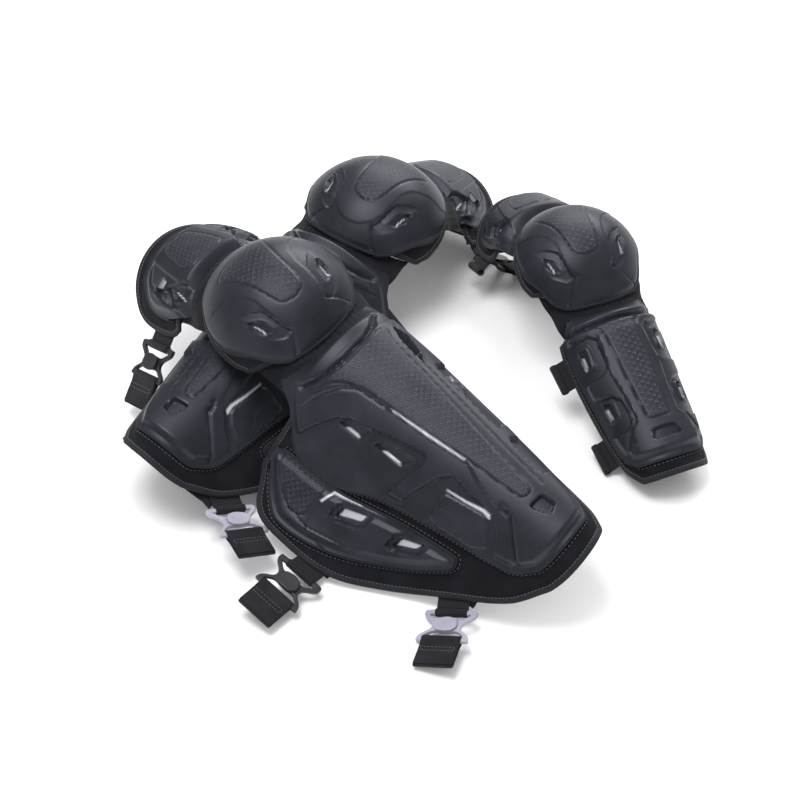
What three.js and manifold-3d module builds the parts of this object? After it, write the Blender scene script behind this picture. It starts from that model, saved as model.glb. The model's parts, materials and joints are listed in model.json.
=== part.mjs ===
// Motorcycle limb guards: two mirrored knee and shin guards, one lying across the other, and an elbow guard.
// Millimetres, +Z up. The origin lies on the ground under the middle of the set.
// Each guard has its own frame: its centre is the joint axis of the limb, x runs across the limb towards the
// outer side of the leg, y runs down the limb and z points out of the front of the limb.

import * as THREE from 'three';
import { mergeVertices } from 'three/addons/utils/BufferGeometryUtils.js';
import Module from 'manifold-3d';

const wasm = await Module();
wasm.setup();

// Fits shared by the whole set
const seatGap = 0.3;
const slideGap = 1.35;
const bandGap = 1.1;
const overrun = 6;
const facetStep = 24;
const rowStep = 24;
const cupFacetAngle = 15;
const tidyTolerance = 0.2;
const degree = Math.PI / 180;

// Moulded shells
const shellWall = 2.6;
const rimHeight = 3.5;
const rimWidth = 4;
const bevelWidth = 7;
const plateHeight = 7;
const pocketFloor = 3;
const stripRise = 1.2;

// Fabric, foam and webbing
const fabricThickness = 2.2;
const padThickness = 11;
const padEdgeThickness = 5;
const cupPadExtra = 4;
const channelDepth = 3;
const strapThickness = 2;

// Strap ends: hook frame, its bars and the loops round them
const barRadius = 1.9;
const loopWall = 1.9;
const hookArmWidth = 6;
const hookThickness = 4.2;
const hookLength = 32;
const hookBridge = 11;
const webbingWidth = 31;
const webbingTuck = 12;
const webbingClear = 1.5; // from the cloth's edge to the bend
const webbingLift = 30;
const sewnGap = 0.7;
const strapFlap = 9;
const strapSag = 5;
const webbingReach = 9;
const strapWidth = 38;
const tabLength = 30;
const tabThickness = 5;

// How far the wing reaches round the calf. The shin plate lies against it and the cloth goes on past it.
const wingReach = 170;
const wingClothMargin = 12;
const shinOfWingShare = 0.6588;

// The knee and shin guard
const knee = {
  name: 'knee',
  cupRadius: 80,
  cupFront: 58.5,
  chinStart: 50,
  chinOverBand: 4,
  cupBack: 58,
  cupSide: 64,
  bandMargin: 12,
  padHalfArc: 25,
  padHalfWidth: 50,
  upper: {
    way: -1, crestNear: 57, crestFar: 57, curveNear: 72, curveFar: 72, near: 80, far: 160, shoulder: 80,
    outerAngle: 60, innerAngle: 60,
    plateEnd: 146, plateReach: 70, plateBulge: 10,
    clothStart: 80, clothEnd: 160, clothReach: 88, clothBulge: 10,
    padStart: 90, padEnd: 148, padReach: 56,
  },
  lower: {
    way: 1, crestNear: 55, crestFar: 46, curveNear: 72, curveFar: 42, near: 80, far: 350, shoulder: 77,
    outerAngle: 42, innerAngle: 72, flareFrom: 128, flareRadius: 70,
    plateEnd: 352, plateReach: wingReach * shinOfWingShare, plateBulge: 8,
    clothStart: 80, clothEnd: 368, clothReach: wingReach + wingClothMargin, clothBulge: 8,
    padStart: 90, padEnd: 340, padReach: 76,
  },
  wing: { start: 86, end: 282, reach: wingReach },
};

// The elbow guard
const elbow = {
  name: 'elbow',
  cupRadius: 69,
  cupFront: 66,
  chinStart: 45,
  chinOverBand: 8,
  cupBack: 56,
  cupSide: 62,
  bandMargin: 10,
  padHalfArc: 25,
  padHalfWidth: 42,
  upper: {
    way: -1, crestNear: 50, crestFar: 48, curveNear: 60, curveFar: 56, near: 70, far: 140, shoulder: 72,
    outerAngle: 66, innerAngle: 66,
    plateEnd: 128, plateReach: 62, plateBulge: 8,
    clothStart: 72, clothEnd: 142, clothReach: 74, clothBulge: 8,
    padStart: 78, padEnd: 130, padReach: 42,
  },
  lower: {
    way: 1, crestNear: 47, crestFar: 41, curveNear: 54, curveFar: 42, near: 70, far: 230, shoulder: 74,
    outerAngle: 70, innerAngle: 70,
    plateEnd: 222, plateReach: 56, plateBulge: 6,
    clothStart: 74, clothEnd: 236, clothReach: 68, clothBulge: 6,
    padStart: 80, padEnd: 216, padReach: 36,
  },
};

// Where each guard lies: joint centre, then turn about the vertical, nose-up tilt and sideways lean
const rightPlace = { at: [-110, 39.9, 118], turn: -133, tilt: -3, lean: 12, upperFold: 22, lowerFold: 8.5 };
const leftPlace = { at: [-27, 216, 75], turn: 146, tilt: 3, lean: -4, upperFold: 26, lowerFold: 8.5 };
const elbowPlace = { at: [172.4, 147.6, 81.5], turn: -158, tilt: -6, lean: 2, upperFold: 30, lowerFold: 14 };

// Outlines. Each row: share of the way along, share of the reach on the outer side, and on the inner side.
const kneeLowerPlateShares = [
  [0, 0.4, 0.4], [0.1, 0.45, 0.45], [0.13, 0.62, 0.52], [0.19, 0.84, 0.56], [0.25, 0.98, 0.57], [0.38, 0.97, 0.56],
  [0.52, 0.8, 0.5], [0.7, 0.69, 0.42], [0.88, 0.6, 0.31], [0.95, 0.54, 0.26], [1, 0.4, 0.18],
];
const kneeLowerClothShares = [
  [0, 0.76, 0.38], [0.08, 0.95, 0.42], [0.2, 1, 0.43], [0.4, 0.98, 0.4], [0.56, 0.86, 0.35], [0.74, 0.68, 0.29],
  [0.92, 0.48, 0.23], [1, 0.3, 0.14],
];
const kneeLowerPadShares = [
  [0, 0.72, 0.5], [0.1, 1, 0.58], [0.4, 0.98, 0.54], [0.7, 0.7, 0.4], [0.92, 0.54, 0.28], [1, 0.4, 0.2],
];
const upperPlateShares = [
  [0, 0.62, 0.62], [0.3, 0.7, 0.7], [0.42, 0.92, 0.92], [0.65, 1, 1], [0.85, 0.93, 0.93], [1, 0.64, 0.64],
];
const upperClothShares = [
  [0, 0.9, 0.9], [0.15, 1, 1], [0.6, 1, 1], [0.85, 0.9, 0.9], [1, 0.64, 0.64],
];
const padShares = [
  [0, 0.8, 0.8], [0.15, 1, 1], [0.7, 1, 1], [0.92, 0.86, 0.86], [1, 0.66, 0.66],
];
const elbowLowerPlateShares = [
  [0, 0.66, 0.66], [0.2, 0.72, 0.72], [0.27, 0.98, 0.98], [0.45, 1, 1], [0.7, 0.94, 0.94], [0.92, 0.84, 0.84],
  [1, 0.62, 0.62],
];
const elbowLowerClothShares = [
  [0, 0.94, 0.94], [0.1, 1, 1], [0.5, 0.98, 0.98], [0.85, 0.84, 0.84], [1, 0.6, 0.6],
];
const wingShares = [
  [0, 0.76, 0.68], [0.05, 0.85, 0.672], [0.12, 0.94, 0.668], [0.2, 1, 0.668], [0.37, 0.99, 0.655],
  [0.54, 0.93, 0.61], [0.72, 0.82, 0.56], [0.88, 0.7, 0.53], [1, 0.59, 0.51],
];
const cupShares = [
  [0, 0.5, 0.5], [0.07, 0.68, 0.68], [0.2, 0.9, 0.9], [0.42, 1, 1], [0.66, 0.97, 0.97], [0.86, 0.78, 0.78],
  [0.95, 0.66, 0.66], [1, 0.5, 0.5],
];

// Features cut into or raised on the shells. Four corners each: share along the shell, signed share of its reach.
const kneeLowerStripShares = [[0.17, 0.3], [0.17, -0.33], [0.85, -0.08], [0.85, 0.04]];
const kneeLowerPocketShares = [
  [[0.24, 0.63], [0.27, 0.44], [0.58, 0.25], [0.58, 0.52]],
  [[0.615, 0.66], [0.645, 0.3], [0.8, 0.27], [0.79, 0.48]],
  [[0.83, 0.19], [0.86, 0.12], [0.955, 0.45], [0.93, 0.5]],
  [[0.885, 0.07], [0.87, -0.1], [0.92, -0.17], [0.925, -0.03]],
];
const kneeLowerWindowShares = [
  [[0.285, 0.56], [0.37, 0.43], [0.375, 0.5], [0.295, 0.62]],
  [[0.445, 0.46], [0.545, 0.3], [0.55, 0.41], [0.455, 0.53]],
];
const upperStripShares = [[0.42, 0.3], [0.42, -0.3], [0.94, -0.22], [0.94, 0.22]];
const upperWindowShares = [
  [[0.78, 0.52], [0.68, 0.56], [0.62, 0.34], [0.72, 0.3]],
  [[0.78, -0.52], [0.68, -0.56], [0.62, -0.34], [0.72, -0.3]],
  [[0.72, 0.72], [0.56, 0.64], [0.5, 0.82], [0.62, 0.86]],
  [[0.72, -0.72], [0.56, -0.64], [0.5, -0.82], [0.62, -0.86]],
];
const elbowLowerStripShares = [[0.26, 0.34], [0.26, -0.34], [0.86, -0.24], [0.86, 0.24]];
const elbowLowerPocketShares = [
  [[0.34, 0.86], [0.34, 0.44], [0.58, 0.4], [0.58, 0.8]],
  [[0.66, 0.78], [0.66, 0.38], [0.84, 0.34], [0.84, 0.7]],
  [[0.34, -0.86], [0.34, -0.44], [0.58, -0.4], [0.58, -0.8]],
  [[0.66, -0.78], [0.66, -0.38], [0.84, -0.34], [0.84, -0.7]],
  [[0.92, 0.14], [0.92, -0.14], [0.96, -0.2], [0.96, 0.2]],
];
const elbowLowerWindowShares = [
  [[0.38, 0.76], [0.38, 0.58], [0.54, 0.52], [0.54, 0.7]],
  [[0.7, 0.68], [0.7, 0.5], [0.8, 0.46], [0.8, 0.62]],
  [[0.38, -0.76], [0.38, -0.58], [0.54, -0.52], [0.54, -0.7]],
  [[0.7, -0.68], [0.7, -0.5], [0.8, -0.46], [0.8, -0.62]],
];
const wingPocketShares = [[[0.36, 0.9], [0.4, 0.66], [0.94, 0.56], [0.86, 0.68]]];
const wingWindowShares = [
  [[0.42, 0.83], [0.43, 0.72], [0.575, 0.62], [0.57, 0.72]],
  [[0.73, 0.73], [0.755, 0.64], [0.85, 0.575], [0.845, 0.635]],
];
const cupTongueShares = [[0, 0.3], [0, -0.3], [0.74, -0.2], [0.74, 0.2]];
const cupPocketShares = [
  [[0.38, 0.86], [0.4, 0.4], [0.72, 0.3], [0.66, 0.56]],
  [[0.38, -0.86], [0.4, -0.4], [0.72, -0.3], [0.66, -0.56]],
  [[0.78, 0.26], [0.78, -0.26], [0.83, -0.16], [0.83, 0.16]],
];
const cupWindowShares = [
  [[0.5, 0.66], [0.5, 0.46], [0.62, 0.4], [0.6, 0.54]],
  [[0.5, -0.66], [0.5, -0.46], [0.62, -0.4], [0.6, -0.54]],
];
const bandShares = [
  [0, 0.5, 0.5], [0.08, 0.68, 0.68], [0.24, 0.9, 0.9], [0.5, 1, 1], [0.8, 1, 1], [1, 0.9, 0.9],
];
const bandOpeningShares = [[0.3, 0.6], [0.3, -0.6], [0.8, -0.55], [0.8, 0.55]];
const collarShare = 0.84;
const collarStartShare = 0.4;
const shellFacets = 5;

// Strap positions along the section, and how far each hook frame drops below level at rest
const thighStrapAt = 112;
const calfStrapAt = 178;
const ankleStrapAt = 300;
const leftAnkleAt = 342;
const upperStrapAt = 106;
const forearmStrapAt = 100;
const wristStrapAt = 190;
const ankleTurn = 37;
const rightDrops = { thigh: 45 };
const kneeStraps = [
  { name: 'thigh', section: 'upper', at: thighStrapAt },
  { name: 'calf', section: 'lower', at: calfStrapAt },
  { name: 'ankle', section: 'lower', at: ankleStrapAt, turn: ankleTurn },
];
const elbowStraps = [
  { name: 'upper', section: 'upper', at: upperStrapAt },
  { name: 'forearm', section: 'lower', at: forearmStrapAt },
  { name: 'wrist', section: 'lower', at: wristStrapAt },
];

// Materials
const shellMaterial = new THREE.MeshStandardMaterial({ color: 0x33363f, roughness: 0.42, metalness: 0 });
const clothMaterial = new THREE.MeshStandardMaterial({ color: 0x15151a, roughness: 0.95, metalness: 0 });
const foamMaterial = new THREE.MeshStandardMaterial({ color: 0x24242a, roughness: 0.9, metalness: 0 });
const webbingMaterial = new THREE.MeshStandardMaterial({ color: 0x101013, roughness: 0.85, metalness: 0 });
const hookMaterial = new THREE.MeshStandardMaterial({ color: 0x9a98ad, roughness: 0.4, metalness: 0 });

function closedBody(positions, index) {
  // One closed body with its faces pointing out, whichever way its grid runs.
  const geometry = new THREE.BufferGeometry();
  geometry.setAttribute('position', new THREE.Float32BufferAttribute(positions, 3));
  const a = new THREE.Vector3();
  const b = new THREE.Vector3();
  const c = new THREE.Vector3();
  let volume = 0;
  for (let i = 0; i < index.length; i += 3) {
    a.fromArray(positions, index[i] * 3);
    b.fromArray(positions, index[i + 1] * 3);
    c.fromArray(positions, index[i + 2] * 3);
    volume += a.dot(b.cross(c));
  }
  geometry.setIndex(volume < 0 ? index.reverse() : index);
  return geometry;
}

function slab(rows, columns, low, high) {
  // A sheet with thickness: two grids of points joined round their edges.
  const positions = [];
  const index = [];
  const at = (layer, i, j) => (layer * (rows + 1) + i) * (columns + 1) + j;
  for (const face of [low, high]) {
    for (let i = 0; i <= rows; i += 1) {
      for (let j = 0; j <= columns; j += 1) positions.push(...face(i / rows, j / columns, i, j));
    }
  }
  const quad = (a, b, c, d) => index.push(a, b, c, a, c, d);
  for (let i = 0; i < rows; i += 1) {
    for (let j = 0; j < columns; j += 1) {
      quad(at(1, i, j), at(1, i + 1, j), at(1, i + 1, j + 1), at(1, i, j + 1));
      quad(at(0, i, j), at(0, i, j + 1), at(0, i + 1, j + 1), at(0, i + 1, j));
    }
    quad(at(0, i, 0), at(0, i + 1, 0), at(1, i + 1, 0), at(1, i, 0));
    quad(at(1, i, columns), at(1, i + 1, columns), at(0, i + 1, columns), at(0, i, columns));
  }
  for (let j = 0; j < columns; j += 1) {
    quad(at(1, 0, j), at(1, 0, j + 1), at(0, 0, j + 1), at(0, 0, j));
    quad(at(0, rows, j), at(0, rows, j + 1), at(1, rows, j + 1), at(1, rows, j));
  }
  return closedBody(positions, index);
}

function rowsBetween(start, end, step) {
  // Shared lines along the limb, so that stacked layers are faceted alike, with the true ends added.
  const rows = [start];
  for (let line = Math.ceil(start / step) * step; line < end; line += step) {
    if (line - rows[rows.length - 1] < seatGap || end - line < seatGap) continue;
    rows.push(line);
  }
  rows.push(end);
  return rows;
}

function faceted(place, alongStep, acrossStep) {
  // The same surface, flat between the lines that stacked layers share.
  return (s, t, out) => {
    const row = Math.floor(s / alongStep) * alongStep;
    const column = Math.floor(t / acrossStep) * acrossStep;
    const along = (s - row) / alongStep;
    const across = (t - column) / acrossStep;
    const here = place(row, column, out).lerp(place(row, column + acrossStep, out), across);
    const next = place(row + alongStep, column, out).lerp(place(row + alongStep, column + acrossStep, out), across);
    return here.lerp(next, along);
  };
}

function layer(table, start, end, reach, alongStep, acrossStep, place, low, high, bulge = 0) {
  // A layer inside an outline, cut on the lines that all layers share.
  const rows = rowsBetween(start, end, alongStep);
  const shareAt = (i) => (rows[i] - start) / (end - start);
  const widest = (column) => Math.max(...rows.map((s, i) => fromTable(table, shareAt(i), column))) * reach;
  const first = -Math.ceil(widest(2) / acrossStep);
  const count = Math.ceil(widest(1) / acrossStep) - first;
  const flat = faceted(place, alongStep, acrossStep);
  const at = (depth) => (u, v, i, j) => {
    const share = shareAt(i);
    const inner = -fromTable(table, share, 2) * reach;
    const outer = fromTable(table, share, 1) * reach;
    const t = THREE.MathUtils.clamp((first + j) * acrossStep, inner, outer);
    const across = (t - inner) / (outer - inner);
    const s = rows[i] + bulge * share ** 6 * (1 - (2 * across - 1) ** 2);
    return flat(s, t, depth(share, across, i, rows.length - 1));
  };
  return slab(rows.length - 1, count, at(low), at(high));
}

function solidOf(geometry) {
  const bare = geometry.clone();
  bare.deleteAttribute('normal');
  bare.deleteAttribute('uv');
  const merged = mergeVertices(bare, 1e-4);
  const kept = [];
  const corners = merged.index.array;
  for (let i = 0; i < corners.length; i += 3) {
    const [a, b, c] = corners.slice(i, i + 3);
    if (a !== b && b !== c && c !== a) kept.push(a, b, c);
  }
  const triVerts = new Uint32Array(kept);
  const vertProperties = new Float32Array(merged.attributes.position.array);
  return new wasm.Manifold(new wasm.Mesh({ numProp: 3, vertProperties, triVerts }));
}

function geometryOf(solid) {
  const mesh = solid.simplify(tidyTolerance).getMesh();
  const geometry = new THREE.BufferGeometry();
  geometry.setAttribute('position', new THREE.BufferAttribute(mesh.vertProperties, 3));
  geometry.setIndex(new THREE.BufferAttribute(mesh.triVerts, 1));
  return geometry;
}

function mirrored(geometry) {
  const copy = geometry.clone();
  copy.scale(-1, 1, 1);
  const index = Array.from(copy.index.array);
  copy.setIndex(index.reverse());
  return copy;
}

function fromTable(table, share, column) {
  // A smooth value read between the rows of a table of shares.
  let k = 0;
  while (k < table.length - 2 && share > table[k + 1][0]) k += 1;
  const slope = (i) => {
    const before = table[Math.max(i - 1, 0)];
    const after = table[Math.min(i + 1, table.length - 1)];
    return (after[column] - before[column]) / (after[0] - before[0]);
  };
  const width = table[k + 1][0] - table[k][0];
  const p = Math.min(Math.max((share - table[k][0]) / width, 0), 1);
  const fromHere = table[k][column] * (1 + 2 * p) * (1 - p) ** 2 + slope(k) * width * p * (1 - p) ** 2;
  const fromNext = table[k + 1][column] * p * p * (3 - 2 * p) - slope(k + 1) * width * p * p * (1 - p);
  return fromHere + fromNext;
}

function bandRadius(guard) {
  return guard.cupRadius - shellWall - bandGap - fabricThickness;
}

function collarRadius(guard) {
  // Inner radius of the shells where they slide inside the cup, past the cloth band under it.
  return bandRadius(guard) - slideGap - shellWall;
}

function limbPlace(guard, section, s, t, out) {
  // A place on a section: s along the limb, t across it measured over the surface, out above the cloth.
  const share = Math.max((s - section.near) / (section.far - section.near), 0);
  const crest = THREE.MathUtils.lerp(section.crestNear, section.crestFar, share);
  const curve = THREE.MathUtils.lerp(section.curveNear, section.curveFar, share);
  const side = Math.sign(t) || 1;
  const limit = (side > 0 ? section.outerAngle : section.innerAngle) * degree;
  const angle = Math.min(Math.abs(t) / curve, limit);
  const flareFrom = side > 0 && section.flareFrom ? section.flareFrom : Infinity;
  const straight = Math.min(Math.abs(t), flareFrom) - curve * angle;
  let x = (curve + out) * Math.sin(angle) + straight * Math.cos(angle);
  let z = crest - curve + (curve + out) * Math.cos(angle) - straight * Math.sin(angle);
  if (Math.abs(t) > flareFrom) {
    const turned = angle - (Math.abs(t) - flareFrom) / section.flareRadius;
    x += (section.flareRadius - out) * (Math.sin(angle) - Math.sin(turned));
    z += (section.flareRadius - out) * (Math.cos(angle) - Math.cos(turned));
  }
  const limb = new THREE.Vector3(side * x, section.way * s, z);
  const radius = collarRadius(guard);
  const lip = radius * collarShare;
  const blend = THREE.MathUtils.smoothstep(s, lip, section.shoulder);
  if (blend === 1) return limb;
  const ball = ballPlace(radius, radius * Math.asin(Math.min(s, lip) / radius), t, out);
  ball.y = section.way * (ball.y + Math.max(s - lip, 0));
  return ball.lerp(limb, blend);
}

function ballPlace(radius, s, t, out) {
  const forward = s / radius;
  const across = t / radius;
  return new THREE.Vector3(
    (radius + out) * Math.sin(across),
    (radius + out) * Math.cos(across) * Math.sin(forward),
    (radius + out) * Math.cos(across) * Math.cos(forward),
  );
}

function cupPlace(guard, radius, s, t, out) {
  // A ball over the joint that runs on straight over the shell below as a chin.
  const chin = guard.chinStart * degree;
  const place = ballPlace(radius, Math.min(s, chin * radius), t, out);
  const beyond = Math.max(s - chin * radius, 0);
  place.y += beyond * Math.cos(chin);
  place.z -= beyond * Math.sin(chin);
  return place;
}

function outlined(table, start, end, reach, bulge, place) {
  // Turns shares of a sheet, along and across, into places inside its outline.
  return (u, v, out) => {
    const outer = fromTable(table, u, 1) * reach;
    const inner = fromTable(table, u, 2) * reach;
    const s = start + (end - start) * u + bulge * u ** 4 * (1 - (2 * v - 1) ** 2);
    return place(s, THREE.MathUtils.lerp(-inner, outer, v), out);
  };
}

function raisedShell(rows, inner, place, edges, height) {
  // A moulded shell: thin rim all round, a bevel and a raised face, hollow behind.
  const columns = inner + 4;
  const acrossAt = (s, j) => {
    const [from, to] = edges(s);
    if (j <= 1) return from + j * rimWidth;
    if (j >= columns - 1) return to - (columns - j) * rimWidth;
    const face = rimWidth + bevelWidth;
    return THREE.MathUtils.lerp(from + face, to - face, (j - 2) / inner);
  };
  const heightAt = (s, i, j) => height(s, i === rows.length - 1 || j <= 1 || j >= columns - 1);
  const flat = faceted(place, rowStep, facetStep);
  const low = (u, v, i, j) => flat(rows[i], acrossAt(rows[i], j), Math.max(heightAt(rows[i], i, j) - shellWall, seatGap));
  const high = (u, v, i, j) => place(rows[i], acrossAt(rows[i], j), heightAt(rows[i], i, j));
  return solidOf(slab(rows.length - 1, columns, low, high));
}

function patch(place, corners, start, length, reach, low, high, rows, columns) {
  // A four-cornered block that follows the surface, to raise a panel or cut a pocket.
  const at = (u, v, out) => {
    const [a, b, c, d] = corners;
    const along = (1 - u) * ((1 - v) * a[0] + v * b[0]) + u * ((1 - v) * d[0] + v * c[0]);
    const across = (1 - u) * ((1 - v) * a[1] + v * b[1]) + u * ((1 - v) * d[1] + v * c[1]);
    return place(start + length * along, reach * across, out);
  };
  return solidOf(slab(rows, columns, (u, v) => at(u, v, low), (u, v) => at(u, v, high)));
}

function widened(corners, length, reach) {
  // The same four corners, moved out by one wall.
  const middle = [0, 1].map((k) => corners.reduce((sum, corner) => sum + corner[k], 0) / corners.length);
  return corners.map(([u, v]) => [
    u + Math.sign(u - middle[0]) * shellWall / length,
    v + Math.sign(v - middle[1]) * shellWall / reach,
  ]);
}

function finishShell(base, place, start, length, reach, strips, pockets, windows) {
  let solid = base;
  const high = plateHeight + overrun;
  for (const corners of strips) {
    const low = plateHeight - stripRise * 1.5;
    solid = solid.add(patch(place, corners, start, length, reach, low, plateHeight + stripRise, 6, 4));
  }
  for (const corners of pockets) {
    const tray = widened(corners, length, reach);
    solid = solid.add(patch(place, tray, start, length, reach, seatGap * 5, plateHeight - seatGap, 2, 2));
    solid = solid.subtract(patch(place, corners, start, length, reach, pocketFloor, high, 2, 2));
  }
  for (const corners of windows) {
    solid = solid.subtract(patch(place, corners, start, length, reach, -overrun, high, 1, 1));
  }
  return geometryOf(solid);
}

function makeShell(guard, section, table, strips, pockets, windows) {
  const lip = collarRadius(guard) * collarShare;
  const start = collarRadius(guard) * collarStartShare;
  const end = section.plateEnd;
  const reach = section.plateReach;
  const place = (s, t, out) => limbPlace(guard, section, s, t, out);
  const edges = (s) => {
    const share = (s - start) / (end - start);
    return [-fromTable(table, share, 2) * reach, fromTable(table, share, 1) * reach];
  };
  const height = (s, atRim) => {
    const rise = THREE.MathUtils.smoothstep(s, lip, section.shoulder);
    return THREE.MathUtils.lerp(shellWall, atRim ? rimHeight : plateHeight, rise);
  };
  const collar = [start, (start + lip) / 2, lip, (lip + section.shoulder) / 2, section.shoulder];
  const face = rowsBetween(section.shoulder, end - bevelWidth, rowStep).slice(1);
  const base = raisedShell([...collar, ...face, end], shellFacets, place, edges, height);
  return finishShell(base, place, start, end - start, reach, strips, pockets, windows);
}

function makeWing(guard, section) {
  const { start, end, reach } = guard.wing;
  const place = (s, t, out) => limbPlace(guard, section, s, t, out);
  const edges = (s) => {
    const share = (s - start) / (end - start);
    return [fromTable(wingShares, share, 2) * reach, fromTable(wingShares, share, 1) * reach];
  };
  const height = (s, atRim) => (atRim || s === start ? rimHeight : plateHeight);
  const face = rowsBetween(start + bevelWidth, end - bevelWidth, rowStep);
  const base = raisedShell([start, ...face, end], 2, place, edges, height);
  return finishShell(base, place, start, end - start, reach, [], wingPocketShares, wingWindowShares);
}

function makeCup(guard) {
  const radius = guard.cupRadius - shellWall;
  const start = -guard.cupBack * degree * radius;
  const length = guard.cupFront * degree * radius - start;
  const reach = guard.cupSide * degree * radius;
  const place = (s, t, out) => cupPlace(guard, radius, s, t, out);
  const step = cupFacetAngle * degree * radius;
  let solid = solidOf(layer(cupShares, start, start + length, reach, step, step, place, () => 0, () => shellWall));
  const high = shellWall + stripRise * 2;
  solid = solid.add(patch(place, cupTongueShares, start, length, reach, shellWall / 2, high, 6, 4));
  for (const corners of cupPocketShares) {
    solid = solid.subtract(patch(place, corners, start, length, reach, shellWall / 2, high + overrun, 3, 3));
  }
  for (const corners of cupWindowShares) {
    solid = solid.subtract(patch(place, corners, start, length, reach, -overrun, high + overrun, 1, 1));
  }
  return geometryOf(solid);
}

function makeBand(guard) {
  // The cloth band under the rim of the cup, open in the middle where the foam pad sits.
  const radius = bandRadius(guard);
  const start = -guard.cupBack * degree * radius - guard.bandMargin;
  const end = (guard.chinStart + guard.chinOverBand) * degree * radius;
  const reach = guard.cupSide * degree * radius + guard.bandMargin;
  const place = (s, t, out) => ballPlace(radius, s, t, out);
  const step = cupFacetAngle * degree * radius;
  const whole = layer(bandShares, start, end, reach, step, step, place, () => 0, () => fabricThickness);
  const opening = patch(place, bandOpeningShares, start, end - start, reach, -overrun, overrun, 3, 4);
  return geometryOf(solidOf(whole).subtract(opening));
}

function makeCloth(guard, section, table) {
  const { clothStart, clothEnd, clothReach, clothBulge } = section;
  const place = (s, t, out) => limbPlace(guard, section, s, t, out);
  const top = () => -seatGap;
  const low = () => -seatGap - fabricThickness;
  const cloth = layer(table, clothStart, clothEnd, clothReach, rowStep, facetStep, place, low, top, clothBulge);
  return geometryOf(solidOf(cloth));
}

function padDepth(u, v, i, rows, pitch = 3) {
  // Thin at the edges, full in the middle, pressed in along the sewn channels.
  const edge = Math.min(Math.min(u, 1 - u) * 5, Math.min(v, 1 - v) * 3, 1);
  const channel = i % pitch === 1 && i > 1 - rows % pitch && i < rows ? channelDepth : 0;
  return THREE.MathUtils.lerp(padEdgeThickness, padThickness - channel, Math.sin(edge * Math.PI / 2));
}

function makePad(guard, section, table) {
  const { padStart, padEnd, padReach } = section;
  const place = (s, t, out) => limbPlace(guard, section, s, t, out);
  const top = -seatGap - fabricThickness - seatGap;
  const low = (u, v, i, rows) => top - padDepth(u, v, i, rows);
  return geometryOf(solidOf(layer(table, padStart, padEnd, padReach, rowStep, facetStep, place, low, () => top)));
}

function makeCupPad(guard) {
  const radius = guard.cupRadius - shellWall - seatGap;
  const half = guard.padHalfArc * degree * radius;
  const place = (s, t, out) => ballPlace(radius, s, t, out);
  const low = (u, v, i, rows) => -padDepth(u, v, i, rows, 2) - cupPadExtra;
  const width = guard.padHalfWidth;
  const step = cupFacetAngle * degree * radius;
  return geometryOf(solidOf(layer(padShares, -half, half, width, step, step, place, low, () => 0)));
}

function block(width, length, thickness, x, y, z) {
  const geometry = new THREE.BoxGeometry(length, width, thickness);
  geometry.translate(x, y, z);
  return solidOf(geometry);
}

function rod(radius, width, x, z) {
  const geometry = new THREE.CylinderGeometry(radius, radius, width, 10);
  geometry.translate(x, 0, z);
  return solidOf(geometry);
}

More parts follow.
